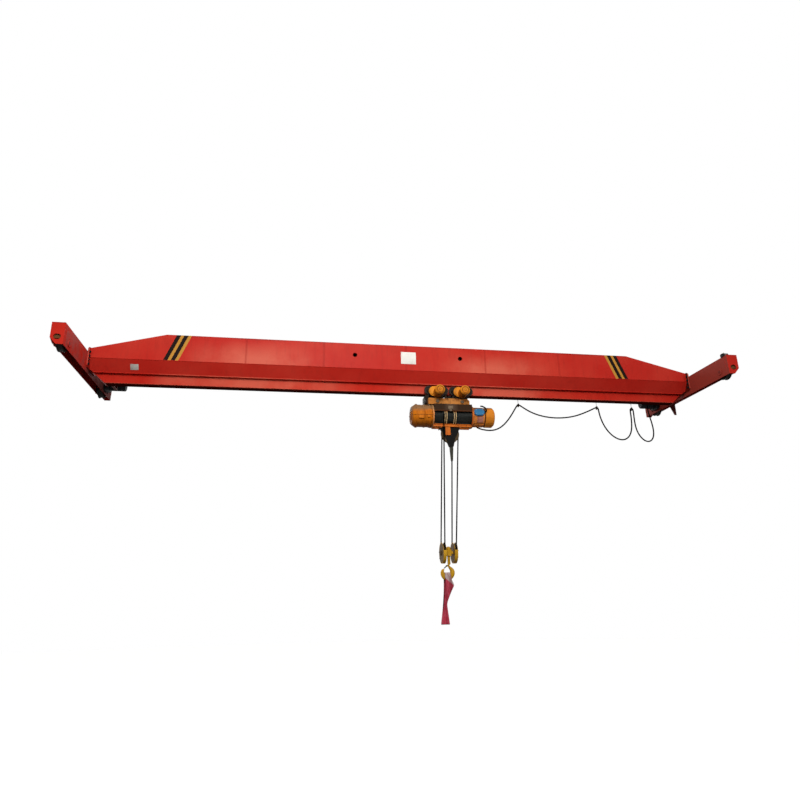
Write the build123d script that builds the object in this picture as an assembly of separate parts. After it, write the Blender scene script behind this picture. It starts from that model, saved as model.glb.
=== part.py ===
from build123d import *
import math
import os

os.makedirs("parts", exist_ok=True)

# Overhead bridge crane with one girder, two end trucks and an under-running wire-rope hoist.
# Millimetres. X runs along the girder, Y across the runway rails' length, Z up.
# The origin is at mid-span, on the girder's centre plane, at the level of the two rail heads.

# Runway and end trucks
rail_span = 12000
wheelbase = 2500
truck_overhang = 265
truck_width = 210
truck_height = 374
truck_clear = 20
truck_plate = 10
truck_end_plate = 12
truck_cut_across = 96
truck_cut_up = 105
truck_lip = 55
truck_lip_run = 120
truck_diaphragm_y = 350
hand_hole_width = 116
hand_hole_height = 94
hand_hole_z = 148

# Runway wheels
wheel_tread_radius = 135
wheel_flange_radius = 150
wheel_tread_width = 70
wheel_flange_width = 15
wheel_hub_radius = 62
wheel_side_gap = 6
axle_radius = 32
axle_boss_radius = 58
axle_boss_depth = 14

# Girder
girder_drop = 160
girder_depth = 951
shell_width = 420
shell_side = 511
shell_plate = 8
slope_height = 217
flange_width = 150
flange_thick = 15
web_thick = 12
top_taper_run = 1293
end_top_z = 482
bottom_taper_run = 274
end_bottom_z = 110
closing_plate = 10
closing_margin = 20
side_hole_radius = 43
side_hole_places = [(-1073, 573), (1017, 587)]

# Bolted joint between girder and trucks
joint_plate = 12
joint_width = 560
joint_top_z = 484
joint_bottom_z = 100
joint_corner = 36

# Bridge drives on the trucks
drive_inset = 200
drive_z = 185
gear_case_depth = 92
gear_case_width = 270
gear_case_height = 236
gear_case_corner = 60
bridge_motor_radius = 92
bridge_motor_length = 215
bridge_cowl_radius = 102
bridge_cowl_length = 86
motor_fin_count = 16
motor_fin_height = 9
motor_fin_thick = 6

# Limit switch on the right truck
switch_size = (128, 84, 60)
switch_offset = 150
switch_overhang = 20

# Tension wire of the festoon cable
wire_radius = 4
wire_y = 350
wire_z = -34
wire_left_inset = 401
wire_eye = 30
wire_eye_radius = 11
anchor_plate = 10
anchor_tip_z = -262
anchor_reach = 130
anchor_foot_half = 60

# Trolley: two bogies that run on the bottom flange
bogie_centres = [537, 1030]
bogie_half_base = 150
tread_radius = 70
tread_gap = 0.3
rim_radius = 92
rim_width = 24
rim_clear = 6
tread_width = 44
gear_tooth_count = 30
stub_radius = 20
cheek_gap = 6
cheek_plate = 12
cheek_corner = 52
cheek_drop = 276
pivot_radius = 26
pivot_z = -292
pivot_nut_radius = 40

# Trolley drives
trolley_motor_radius = 88
trolley_motor_length = 190
trolley_cowl_radius = 93
trolley_cowl_length = 60
trolley_gear_depth = 70
trolley_gear_radius = 74
trolley_motor_z = -138

# Trolley frame
frame_plate = 14
frame_left = 330
frame_right = 1180
frame_top_z = -226
frame_bottom_z = -355
frame_corner = 42
boss_height = 6
frame_y = 152

# Hoist body
hoist_z = -555
running_fit = 0.06
seat_gap = 0.3
hoist_left = 37
gearbox_length = 401
gearbox_radius = 230
gearbox_taper = 44
gearbox_pads = [(118, 222, -104, 104), (280, 344, -84, 60)]
pad_corner = 14
pad_edge = 8
nose_radius = 96
nose_depth = 12
body_length = 792
body_radius = 220
body_wall = 10
housing_flange = 14
window_up = 15
window_down = 57
bottom_gap_half = 82
motor_length = 447
motor_radius = 186
motor_flange_radius = 222
motor_flange_width = 12
brake_length = 190
motor_rib = 7
motor_rib_angles = [-60, -45, -30, -15, 0, 15, 30, 45, 140, 152, 164, 176, 188, 200, 212]
brake_rib_count = 12
brake_radius = 194
drum_radius = 150
hoist_rope_radius = 9
drum_end_gap = 14
drum_shaft_radius = 36
drum_shaft_grip = 20
guide_places = [690, 872]
guide_width = 26
guide_depth = 16
saddle_half = 205
saddle_plate = 14
saddle_foot_z = -478

# Terminal box on the hoist motor
box_x = 1346
box_z = -508
box_length = 200
box_height = 134
box_depth = 66
box_lid = 9

# Upper sheave of the reeving, rope wedge
upper_x = 790
upper_y = -30
upper_z = -915
upper_rim_radius = 178
upper_rope_radius = 160
upper_width = 44
upper_pin_radius = 20
upper_cheek = 10
upper_cheek_gap = 6
wedge_top_z = -1112
wedge_bottom_z = -1442
wedge_width = 66
wedge_depth = 44
wedge_x = 806
wedge_pin_radius = 12

# Hook block
block_x = 675
block_z = -3140
block_sheave_offset = 105
block_sheave_radius = 174
block_rope_radius = 158
block_sheave_width = 40
block_axle_radius = 30
guard_radius = 187
guard_wall = 4
guard_gap = 5
guard_rise = 40
crosshead_width = 96
crosshead_height = 108
crosshead_depth = 104
hook_shank_radius = 27
nut_radius = 46
nut_height = 44

# Hook
bowl_x = 632
bowl_z = -3465
bowl_radius = 56
latch_pin_radius = 5
latch_plate = 6

# Web sling in the hook
sling_bottom_z = -4372
sling_neck_z = -4010
sling_neck_width = 68
sling_foot_width = 160
sling_ply = 20
sling_room = 300

# Upper sheave's fixing, falls and rope ends
strip_half = 118
wedge_pin_z = -1138
bracket_left = 692
bracket_width = 96
bracket_depth = 24
bracket_foot_z = -945
drum_fall_x = 648
rope_foot_rise = 12

# Hook outline: angle round the bowl from +X, thickness and width of each section
hook_neck_rise = 128
hook_sections = [(28, 66, 58), (4, 82, 68), (-25, 92, 74), (-58, 100, 76), (-92, 103, 76), (-126, 92, 72),
                 (-158, 72, 62), (-184, 56, 50), (-204, 40, 36), (-216, 24, 22)]
latch_x = 634
latch_z = -3366
latch_lug = 12
latch_reach = 60
latch_fall = 42

# Web sling: places where its outline turns
sling_shoulder_z = -3487
sling_turn_z = -3645
sling_half = 66
sling_neck_x = 570

# Cable hangers and glands
hanger_places = [2360, 4082, 4870]
ring_radius = 13
ring_bar = 3
saddle_z = -185
saddle_turn = 32
gland_radius = 21
gland_depth = 70

# Festoon cable: route of its centre line from the hoist to the girder
cable_radius = 14
cable_route = [
    (1380, 187, -663), (1398, 220, -684), (1462, 258, -704), (1560, 285, -720), (1672, 305, -727),
    (1788, 326, -714), (1900, 341, -674), (2010, 350, -598), (2112, 352, -492), (2202, 352, -370),
    (2270, 350, -262), (2317, 350, -190), (2340, 350, -157), (2363, 350, -151), (2406, 350, -171),
    (2482, 351, -222), (2600, 354, -290), (2750, 357, -348), (2920, 360, -387), (3100, 361, -405),
    (3280, 360, -402), (3450, 358, -382), (3600, 356, -348), (3742, 354, -299), (3872, 352, -245),
    (3972, 351, -199), (4040, 350, -167), (4078, 350, -152), (4098, 350, -155), (4112, 350, -170),
    (4119, 350, -214), (4130, 352, -310), (4162, 356, -432), (4216, 361, -560), (4300, 366, -684),
    (4412, 368, -784), (4540, 366, -838), (4666, 362, -824), (4764, 357, -736), (4815, 353, -602),
    (4833, 351, -452), (4838, 350, -322), (4836, 350, -236), (4838, 350, -194), (4841, 350, -170),
    (4858, 350, -153), (4883, 350, -153), (4901, 350, -171), (4905, 350, -216), (4903, 349, -310),
    (4900, 346, -470), (4918, 341, -634), (4984, 336, -778), (5092, 334, -868), (5204, 337, -858),
    (5282, 341, -764), (5305, 345, -620), (5292, 348, -462), (5264, 350, -320), (5240, 346, -176),
    (5224, 320, -46), (5212, 256, 52), (5206, 186, 107), (5205, 151, 129)]

# Values worked out from the sizes above
rail_x = rail_span / 2
truck_length = wheelbase + 2 * truck_overhang
drive_y = wheelbase / 2 - drive_inset
switch_y = -wheelbase / 2 - switch_offset
truck_bottom = truck_clear
truck_top = truck_clear + truck_height
truck_inner = rail_x - truck_width / 2
truck_outer = rail_x + truck_width / 2
girder_bottom = truck_clear - girder_drop
girder_top = girder_bottom + girder_depth
shell_bottom = girder_top - shell_side
beam_top = shell_bottom - slope_height
joint_face = truck_inner - joint_plate
girder_end = joint_face - joint_plate
top_bend_x = girder_end - top_taper_run
bottom_bend_x = girder_end - bottom_taper_run
wire_left_x = wire_left_inset - girder_end
flange_top = girder_bottom + flange_thick
trolley_axle_z = flange_top + tread_radius
hoist_right = hoist_left + gearbox_length + body_length + motor_length
body_start = hoist_left + gearbox_length
body_end = body_start + body_length
wire_right_x = truck_inner - anchor_reach - wire_eye
cheek_inner = flange_width / 2 + rim_clear + rim_width + cheek_gap


def prism(points, plane, depth):
    """A flat outline in the plane, extruded by depth along the plane's normal."""
    outline = plane * make_face(Polyline(*points, close=True))
    return extrude(outline, depth)


def block(x0, x1, y0, y1, z0, z1):
    """A block between six limits."""
    return Pos((x0 + x1) / 2, (y0 + y1) / 2, (z0 + z1) / 2) * Box(x1 - x0, y1 - y0, z1 - z0)


def rod_x(x0, x1, y, z, radius):
    """A round bar along X."""
    return Pos((x0 + x1) / 2, y, z) * Rot(0, 90, 0) * Cylinder(radius, x1 - x0)


def rod_y(x, y0, y1, z, radius):
    """A round bar along Y."""
    return Pos(x, (y0 + y1) / 2, z) * Rot(90, 0, 0) * Cylinder(radius, y1 - y0)


def rod_between(start, end, radius):
    """A round bar between two points."""
    line = Line(start, end)
    return sweep(Plane(origin=start, z_dir=line % 0) * Circle(radius), path=line)


def turned_x(profile):
    """A shape turned about the X axis from (x, radius) points."""
    return revolve(make_face(Polyline(*profile, close=True)), Axis.X, 360)


def save(name, shape):
    export_step(shape, "parts/" + name + ".step")
    print(name, round(shape.volume))


def side_outline(bottom):
    """The girder's side view down to the given height, with its tapered ends."""
    return [(-girder_end, bottom), (-girder_end, end_top_z), (-top_bend_x, girder_top),
            (top_bend_x, girder_top), (girder_end, end_top_z), (girder_end, bottom)]


def girder_shell():
    """Top plate and two vertical sides, pressed as one channel."""
    half = shell_width / 2
    outer = prism(side_outline(shell_bottom), Plane.XZ.offset(-half), shell_width)
    inner_points = [(-girder_end, shell_bottom), (-girder_end, end_top_z - shell_plate),
                    (-top_bend_x, girder_top - shell_plate), (top_bend_x, girder_top - shell_plate),
                    (girder_end, end_top_z - shell_plate), (girder_end, shell_bottom)]
    inner = prism(inner_points, Plane.XZ.offset(shell_plate - half), shell_width - 2 * shell_plate)
    shell = outer - inner
    for x, z in side_hole_places:
        shell -= rod_y(x, -half - 1, -half + shell_plate + 1, z, side_hole_radius)
    return shell


def end_cut(side, offset=0):
    """What is below the sloping cut at one end of the girder's lower part."""
    rise = end_bottom_z - girder_bottom
    run = girder_end - bottom_bend_x
    length = math.hypot(rise, run)
    lift = offset * length / run
    depth = 400
    points = [(side * (bottom_bend_x - run), girder_bottom - rise + lift),
              (side * (girder_end + run), end_bottom_z + rise + lift),
              (side * (girder_end + run), girder_bottom - rise - depth),
              (side * (bottom_bend_x - run), girder_bottom - rise - depth)]
    return prism(points, Plane.XZ.offset(-shell_width / 2), shell_width)


def slope_plates():
    """The two plates that lean in from the shell to the beam; the far one holds the cable's gland."""
    shell_half = shell_width / 2
    beam_half = flange_width / 2
    points = [(shell_half, shell_bottom), (shell_half - shell_plate, shell_bottom),
              (beam_half - shell_plate, beam_top), (beam_half, beam_top)]
    back = prism(points, Plane.YZ.offset(-girder_end), 2 * girder_end)
    for side in (-1, 1):
        back -= end_cut(side, closing_plate)
    front = mirror(back, about=Plane.XZ)
    end = Vector(*cable_route[-1])
    along = (end - Vector(*cable_route[-2])).normalized()
    gland = rod_between(end, end + along * gland_depth, gland_radius)
    behind = [points[1], points[2], (-shell_half, beam_top), (-shell_half, shell_bottom)]
    gland -= prism(behind, Plane.YZ.offset(end.X - 200), 400)
    return [front, back + gland]


def i_beam():
    """The rolled beam whose bottom flange is the trolley's track."""
    half = flange_width / 2
    web = web_thick / 2
    points = [(-half, girder_bottom), (half, girder_bottom), (half, flange_top), (web, flange_top),
              (web, beam_top - flange_thick), (half, beam_top - flange_thick), (half, beam_top),
              (-half, beam_top), (-half, beam_top - flange_thick), (-web, beam_top - flange_thick),
              (-web, flange_top), (-half, flange_top)]
    beam = prism(points, Plane.YZ.offset(-girder_end), 2 * girder_end)
    for side in (-1, 1):
        beam -= end_cut(side, closing_plate)
    return beam


def joint_flange(x0):
    """One of the two plates bolted together between girder and truck, its corners clipped."""
    plate = block(x0, x0 + joint_plate, -joint_width / 2, joint_width / 2, joint_bottom_z, joint_top_z)
    return chamfer(plate.edges().filter_by(Axis.X), joint_corner)


def girder_end_piece(side):
    """The end flange with the plate that closes the sloping cut."""
    flange = joint_flange(girder_end)
    half = flange_width / 2 + closing_margin
    closing = block(bottom_bend_x - 3 * closing_plate, girder_end, -half, half,
                    girder_bottom, end_bottom_z + 2 * closing_plate)
    closing = closing & end_cut(1, closing_plate)
    closing -= end_cut(1, 0)
    piece = flange + closing
    return piece if side > 0 else mirror(piece, about=Plane.YZ)


def truck(side):
    """Inverted channel open below, its outer plate shorter, with diaphragms and the girder's joint plate."""
    half = truck_length / 2
    body = block(truck_inner, truck_outer, -half, half, truck_bottom, truck_top)
    body -= block(truck_inner + truck_plate, truck_outer - truck_plate, -half + truck_end_plate,
                  half - truck_end_plate, truck_bottom - 1, truck_top - truck_plate)
    lip_z = truck_bottom + truck_lip
    body -= block(truck_outer - truck_plate, truck_outer + 1, -half, half, truck_bottom - 1, lip_z)
    corner = [(truck_outer - truck_cut_across, truck_bottom - 1), (truck_outer + 1, truck_bottom - 1),
              (truck_outer + 1, truck_bottom + truck_cut_up)]
    for end in (-1, 1):
        start = min(end * half, end * (half - truck_end_plate))
        body -= prism(corner, Plane.XZ.offset(-start - truck_end_plate), truck_end_plate)
        taper = [(end * half, lip_z - 1), (end * half, truck_bottom + truck_cut_up),
                 (end * (half - truck_lip_run), lip_z - 1)]
        body -= prism(taper, Plane.YZ.offset(truck_outer - truck_plate), truck_plate)
        hole = Pos(rail_x, end * half, hand_hole_z) * Rot(90, 0, 0) * extrude(
            SlotOverall(hand_hole_width, hand_hole_height), truck_end_plate * 2, both=True)
        body -= hole
        y = end * truck_diaphragm_y
        body += block(truck_inner + truck_plate, truck_outer - truck_plate, y - truck_plate / 2,
                      y + truck_plate / 2, truck_bottom + truck_cut_up, truck_top - truck_plate)
        axle_y = end * wheelbase / 2
        for x0 in (truck_inner - axle_boss_depth, truck_outer):
            body += rod_x(x0, x0 + axle_boss_depth, axle_y, wheel_tread_radius, axle_boss_radius)
        body -= rod_x(truck_inner - axle_boss_depth - 1, truck_outer + axle_boss_depth + 1, axle_y,
                      wheel_tread_radius, axle_radius + running_fit)
    body += joint_flange(joint_face)
    return body if side > 0 else mirror(body, about=Plane.YZ)


def runway_wheel(side, end):
    """Double-flanged wheel with its axle, turned as one."""
    tread = wheel_tread_width / 2
    rim = tread + wheel_flange_width
    hub = truck_width / 2 - truck_plate - wheel_side_gap
    web = 22
    rim_inside = wheel_tread_radius - 28
    axle = truck_width / 2 + axle_boss_depth
    half = [(0, 0), (0, wheel_tread_radius), (tread, wheel_tread_radius), (tread + 3, wheel_flange_radius),
            (rim, wheel_flange_radius - 4), (rim, rim_inside), (web, rim_inside - 8),
            (web, wheel_hub_radius + 6), (hub, wheel_hub_radius), (hub, axle_radius), (axle, axle_radius),
            (axle, 0)]
    wheel = turned_x(half)
    wheel += mirror(wheel, about=Plane.YZ)
    return Pos(side * rail_x, end * wheelbase / 2, wheel_tread_radius) * wheel


def finned_motor(radius, length, cowl_radius, cowl_length, fins):
    """Motor turned about X: it starts at x = 0 and its fan cowl ends at negative x."""
    total = length + cowl_length
    profile = [(0, 0), (0, radius + 6), (-16, radius + 6), (-16, radius), (-length, radius),
               (-length, cowl_radius), (-total + 14, cowl_radius), (-total, cowl_radius - 14), (-total, 0)]
    motor = turned_x(profile)
    fin = block(-length, -16, -motor_fin_thick / 2, motor_fin_thick / 2, radius - 4,
                radius + motor_fin_height)
    for index in range(fins):
        motor += Rot(360 * (index + 0.5) / fins, 0, 0) * fin
    return motor


def bridge_drive(side):
    """Gear case and flange motor on the truck's inner side, pointing to mid-span."""
    half_width = gear_case_width / 2
    half_height = gear_case_height / 2
    case = block(truck_inner - gear_case_depth, truck_inner, drive_y - half_width, drive_y + half_width,
                 drive_z - half_height, drive_z + half_height)
    case = fillet(case.edges().filter_by(Axis.X), gear_case_corner)
    case = chamfer(case.faces().sort_by(Axis.X)[0].edges(), 8)
    motor = finned_motor(bridge_motor_radius, bridge_motor_length, bridge_cowl_radius, bridge_cowl_length,
                         motor_fin_count)
    drive = case + Pos(truck_inner - gear_case_depth, drive_y, drive_z) * motor
    return drive if side > 0 else mirror(drive, about=Plane.YZ)


def limit_switch():
    """Travel switch box on the right truck."""
    length, width, height = switch_size
    x0 = truck_inner - switch_overhang
    seam = truck_top + height * 0.75
    body = block(x0, x0 + length, switch_y - width / 2, switch_y + width / 2, truck_top, seam)
    lid = block(x0 + 6, x0 + length - 6, switch_y - width / 2 + 6, switch_y + width / 2 - 6, seam,
                truck_top + height)
    body = fillet(body.edges().filter_by(Axis.Z), 10)
    return body + lid


def track_wire():
    """Taut steel wire that carries the cable hangers, from anchor to anchor."""
    return rod_x(wire_left_x, wire_right_x, wire_y, wire_z, wire_radius)


def right_anchor():
    """Gusset under the right truck that holds the wire's end."""
    top = truck_bottom + 90
    outline = [(truck_inner, top), (truck_inner - 26, top), (truck_inner - anchor_reach, truck_bottom - 20),
               (truck_inner - anchor_reach, wire_z - 40), (truck_inner - 46, anchor_tip_z),
               (truck_inner, anchor_tip_z)]
    gusset = prism(outline, Plane.XZ.offset(-wire_y - anchor_plate / 2), anchor_plate)
    foot = block(truck_inner - anchor_plate, truck_inner, wire_y - anchor_foot_half,
                 wire_y + anchor_foot_half, truck_bottom + 4, top)
    eye = rod_x(wire_right_x, wire_right_x + wire_eye + 4, wire_y, wire_z, wire_eye_radius)
    return gusset + foot + eye


def left_anchor():
    """Angle arm on the beam's flange that holds the wire's other end."""
    x1 = wire_left_x
    x0 = x1 - 60
    arm = block(x0, x1 - 10, web_thick / 2, wire_y + 20, flange_top, flange_top + 10)
    leg = block(x0, x0 + 10, web_thick / 2, wire_y + 20, flange_top + 10, flange_top + 60)
    lug = block(x0 + 10, x1 - 10, wire_y - 6, wire_y + 6, flange_top + 10, wire_z + 22)
    eye = rod_x(x1 - wire_eye, x1, wire_y, wire_z, wire_eye_radius)
    return arm + leg + lug + eye


def trolley_wheels(x):
    """A pair of flanged wheels, one each side of the web, on one axle line."""
    inner = flange_width / 2 + rim_clear
    tread = tread_radius - tread_gap
    bore = stub_radius + running_fit
    pair = []
    for side in (-1, 1):
        profile = [(inner - tread_width, bore), (inner - tread_width, tread - 2), (inner, tread),
                   (inner, rim_radius - 7), (inner + rim_width, rim_radius - 7),
                   (inner + rim_width, 66), (inner + 10, 62), (inner + 10, 38), (inner + rim_width, 34),
                   (inner + rim_width, bore)]
        wheel = revolve(make_face(Polyline(*[(r, y) for y, r in profile], close=True)), Axis.Y, 360)
        tooth = [(rim_radius - 9, -7), (rim_radius, -4), (rim_radius, 4), (rim_radius - 9, 7)]
        tooth = prism(tooth, Plane.XZ.offset(-inner - rim_width), rim_width)
        for index in range(gear_tooth_count):
            wheel += Rot(0, 360 * index / gear_tooth_count, 0) * tooth
        if side < 0:
            wheel = mirror(wheel, about=Plane.XZ)
        pair.append(Pos(x, 0, trolley_axle_z) * wheel)
    return pair


def bogie(x):
    """Two cheek plates with stub axles; they hang the frame on one pivot pin under the beam."""
    inner = cheek_inner
    reach = bogie_half_base
    top = trolley_axle_z + cheek_corner
    foot = trolley_axle_z - cheek_drop
    side = reach + cheek_corner
    waist = trolley_axle_z - cheek_corner
    outline = Plane.XZ * make_face(Polyline(
        (-side, trolley_axle_z), (-reach, top), (reach, top), (side, trolley_axle_z), (side - 22, waist),
        (62, foot + 60), (44, foot), (-44, foot), (-62, foot + 60), (22 - side, waist), close=True))
    cheek = Pos(0, inner + cheek_plate, 0) * extrude(outline, cheek_plate)
    cheek = fillet(cheek.edges().filter_by(Axis.Y), 16)
    for dx in (-reach, reach):
        cheek += rod_y(dx, inner - cheek_gap - rim_width - tread_width + 4, inner, trolley_axle_z,
                       stub_radius)
        cheek += rod_y(dx, inner + cheek_plate, inner + cheek_plate + 10, trolley_axle_z, 32)
    piece = cheek + mirror(cheek, about=Plane.XZ)
    piece += rod_y(0, -frame_y - 20, frame_y + 20, pivot_z, pivot_radius)
    return Pos(x, 0, 0) * piece


def trolley_drive(x):
    """Gear housing and motor on the bogie's near cheek, pointing across the girder."""
    face = -(cheek_inner + cheek_plate)
    housing = rod_y(x, face - trolley_gear_depth, face, trolley_motor_z, trolley_gear_radius)
    lobe = rod_y(x - 72, face - trolley_gear_depth * 0.72, face, trolley_axle_z + 6, 42)
    web = block(x - 72, x, face - trolley_gear_depth * 0.6, face, trolley_motor_z - 40, trolley_axle_z + 40)
    motor = finned_motor(trolley_motor_radius - 6, trolley_motor_length, trolley_cowl_radius,
                         trolley_cowl_length, 0)
    motor = Pos(x, face - trolley_gear_depth, trolley_motor_z) * Rot(0, 0, 90) * motor
    return housing + lobe + web + motor


def trolley_frame():
    """Long plates that join the bogies, tied at both ends, on a saddle along the top of the hoist body."""
    outline = [(frame_left + frame_corner, frame_top_z), (frame_right - frame_corner, frame_top_z),
               (frame_right, frame_top_z - frame_corner), (frame_right, frame_bottom_z),
               (frame_left, frame_bottom_z), (frame_left, frame_top_z - frame_corner)]
    side = prism(outline, Plane.XZ.offset(-frame_y), frame_plate)
    for x in bogie_centres:
        side += rod_y(x, frame_y, frame_y + boss_height, pivot_z, pivot_nut_radius)
        side -= rod_y(x, frame_y - frame_plate - 1, frame_y + boss_height + 1, pivot_z,
                      pivot_radius + running_fit)
    x0, x1 = body_start + housing_flange + 4, body_end - housing_flange - 4
    channel = block(x0, x1, 0, saddle_half, saddle_foot_z, frame_bottom_z)
    channel -= block(x0 - 1, x1 + 1, -1, saddle_half - saddle_plate, saddle_foot_z - 1,
                     frame_bottom_z - saddle_plate)
    channel -= rod_x(x0 - 1, x1 + 1, 0, hoist_z, body_radius)
    side += channel
    frame = side + mirror(side, about=Plane.XZ)
    for x in (frame_left, frame_right - frame_plate):
        frame += block(x, x + frame_plate, -frame_y + 1, frame_y - 1, frame_bottom_z + 22,
                       frame_top_z - frame_corner)
    return frame


def circle_arc_shell(radius_out, radius_in, x0, x1):
    return rod_x(x0, x1, 0, 0, radius_out) - rod_x(x0 - 1, x1 + 1, 0, 0, radius_in)


def sector(start_deg, end_deg, radius, x0, x1):
    """A wedge about the X axis between two angles, counted from -Y towards +Z."""
    steps = 4
    points = [(0, 0)]
    for index in range(steps + 1):
        angle = math.radians(start_deg + (end_deg - start_deg) * index / steps)
        points.append((-radius * math.cos(angle), radius * math.sin(angle)))
    return prism(points, Plane.YZ.offset(x0), x1 - x0)


def drum_housing():
    """Tube round the drum with a window each side and a slot below for the ropes."""
    x0, x1 = body_start, body_end
    shell = circle_arc_shell(body_radius, body_radius - body_wall, x0, x1)
    rim = 22
    for x in (x0, x1 - housing_flange):
        shell += circle_arc_shell(body_radius + 8, body_radius - 1, x, x + housing_flange)
    for flip in (False, True):
        window = sector(-window_down, window_up, body_radius * 1.3, x0 + rim, x1 - rim)
        shell -= mirror(window, about=Plane.XZ) if flip else window
    shell -= block(x0 + rim, x1 - rim, -bottom_gap_half, bottom_gap_half, -body_radius - 5, 0)
    return Pos(0, 0, hoist_z) * shell


def hoist_gearbox():
    """Cast gearbox at the hoist's left end: ribbed drum with a nose cover and flat pads."""
    x0, x1 = hoist_left, body_start
    r = gearbox_radius
    grip = x1 - drum_shaft_grip - 2
    bore = drum_shaft_radius + running_fit
    profile = [(x0, 0), (x0, r - gearbox_taper - 18), (x0 + 20, r - gearbox_taper), (x0 + 70, r - 10),
               (x0 + 78, r - 10), (x0 + 78, r), (x0 + 104, r), (x0 + 104, r - 12), (x0 + 236, r - 12),
               (x0 + 244, r - 4), (x0 + 262, r - 4), (x0 + 270, r - 12), (x1 - 62, r - 12), (x1 - 54, r - 4),
               (x1 - 36, r - 4), (x1 - 30, r - 12), (x1 - 22, r - 12), (x1 - 22, r), (x1, r), (x1, bore),
               (grip, bore), (grip, 0)]
    case = turned_x(profile)
    for px0, px1, pz0, pz1 in gearbox_pads:
        pad = block(x0 + px0, x0 + px1, 4 - r, -r * 0.45, pz0, pz1)
        pad = fillet(pad.edges().filter_by(Axis.Y), pad_corner)
        pad = fillet(pad.faces().sort_by(Axis.Y)[0].edges(), pad_edge)
        case += pad + mirror(pad, about=Plane.XZ)
    nose = rod_x(x0 - nose_depth, x0 + 2, 0, 0, nose_radius)
    case += chamfer(nose.faces().sort_by(Axis.X)[0].edges(), 5)
    return Pos(0, 0, hoist_z) * case


def hoist_motor():
    """Cone-rotor hoist motor with its brake housing at the right end."""
    x0, x1 = body_end, hoist_right
    split = x1 - brake_length
    bore = drum_shaft_radius + running_fit
    profile = [(x0 + drum_shaft_grip + 2, 0), (x0 + drum_shaft_grip + 2, bore), (x0, bore),
               (x0, motor_flange_radius), (x0 + motor_flange_width, motor_flange_radius),
               (x0 + motor_flange_width + 4, motor_radius), (split - 24, motor_radius),
               (split - 24, motor_radius - 16), (split, motor_radius - 16), (split, brake_radius - 6),
               (split + 8, brake_radius), (x1 - 34, brake_radius), (x1 - 6, brake_radius - 26),
               (x1, brake_radius - 60), (x1, 0)]
    motor = turned_x(profile)
    rib = block(x0 + motor_flange_width, split - 24, -motor_rib / 2, motor_rib / 2, motor_radius - 5,
                motor_radius + motor_rib)
    for angle in motor_rib_angles:
        motor += Rot(angle, 0, 0) * rib
    for index in range(brake_rib_count):
        rib = block(split + 8, x1 - 34, -motor_rib / 2, motor_rib / 2, brake_radius - 5, brake_radius + 3)
        motor += Rot(360 * (index + 0.5) / brake_rib_count, 0, 0) * rib
    motor = Pos(0, 0, hoist_z) * motor
    start = Vector(*cable_route[0])
    along = (Vector(*cable_route[1]) - start).normalized()
    return motor + rod_between(start - along * gland_depth, start, gland_radius)


def rope_drum():
    """Grooved drum with its rope layers and end flanges, on a shaft at each end."""
    x0 = body_start + drum_end_gap
    x1 = body_end - drum_end_gap
    outer = drum_radius + 2 * hoist_rope_radius
    shaft = drum_shaft_radius
    lip = 16
    profile = [(body_start - drum_shaft_grip, 0), (body_start - drum_shaft_grip, shaft), (x0, shaft),
               (x0, outer + 10), (x0 + lip, outer + 10), (x0 + lip, outer), (x1 - lip, outer),
               (x1 - lip, outer + 10), (x1, outer + 10), (x1, shaft), (body_end + drum_shaft_grip, shaft),
               (body_end + drum_shaft_grip, 0)]
    return Pos(0, 0, hoist_z) * turned_x(profile)


def rope_guide():
    """Two hoops round the drum that lay the rope, tied by bars to the housing."""
    inner = drum_radius + 2 * hoist_rope_radius + 6
    hoops = None
    for x in guide_places:
        hoop = circle_arc_shell(inner + guide_depth, inner, x - guide_width / 2, x + guide_width / 2)
        hoops = hoop if hoops is None else hoops + hoop
    x0 = guide_places[0]
    x1 = guide_places[1]
    top = body_radius - body_wall
    bar = block(x0 - guide_width / 2, x1 + guide_width / 2, -30, 30, inner + guide_depth - 4, top)
    hoops += bar & rod_x(x0 - guide_width, x1 + guide_width, 0, 0, top)
    return Pos(0, 0, hoist_z) * hoops


def terminal_box():
    """Rounded terminal box with a raised lid on the motor's near side."""
    shape = Box(box_length, box_depth, box_height)
    shape = fillet(shape.edges().filter_by(Axis.Y), box_height * 0.45)
    lid = Pos(0, -box_depth / 2 - box_lid / 2, 0) * Box(box_length - 12, box_lid, box_height - 12)
    lid = fillet(lid.edges().filter_by(Axis.Y), box_height * 0.4)
    shape += chamfer(lid.faces().sort_by(Axis.Y)[0].edges(), box_lid * 0.6)
    shape += rod_x(box_length / 2 - 4, box_length / 2 + 18, 0, 0, 17)
    shape = Pos(box_x, -motor_radius - 8, box_z) * shape
    return shape - rod_x(box_x - box_length, box_x + box_length, 0, hoist_z, motor_radius)


def grooved_sheave(rim_radius_out, rope_radius, width, bore):
    """Sheave turned about X with a rope groove."""
    half = width / 2
    groove = rope_radius - hoist_rope_radius - 0.3
    hub = bore + 22
    profile = [(-half, bore), (-half, hub), (-half + 8, hub + 4), (-half + 8, groove - 14),
               (-half, groove - 10), (-half, rim_radius_out - 3), (-half + 3, rim_radius_out),
               (-hoist_rope_radius - 2, groove + 4), (-5, groove), (5, groove),
               (hoist_rope_radius + 2, groove + 4), (half - 3, rim_radius_out), (half, rim_radius_out - 3),
               (half, groove - 10), (half - 8, groove - 14), (half - 8, hub + 4), (half, hub), (half, bore)]
    return turned_x(profile)


def upper_sheave():
    """Fixed-axis sheave under the hoist body that returns the rope."""
    wheel = grooved_sheave(upper_rim_radius, upper_rope_radius, upper_width, upper_pin_radius + running_fit)
    return Pos(upper_x, upper_y, upper_z) * Rot(0, 0, 90) * wheel


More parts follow.
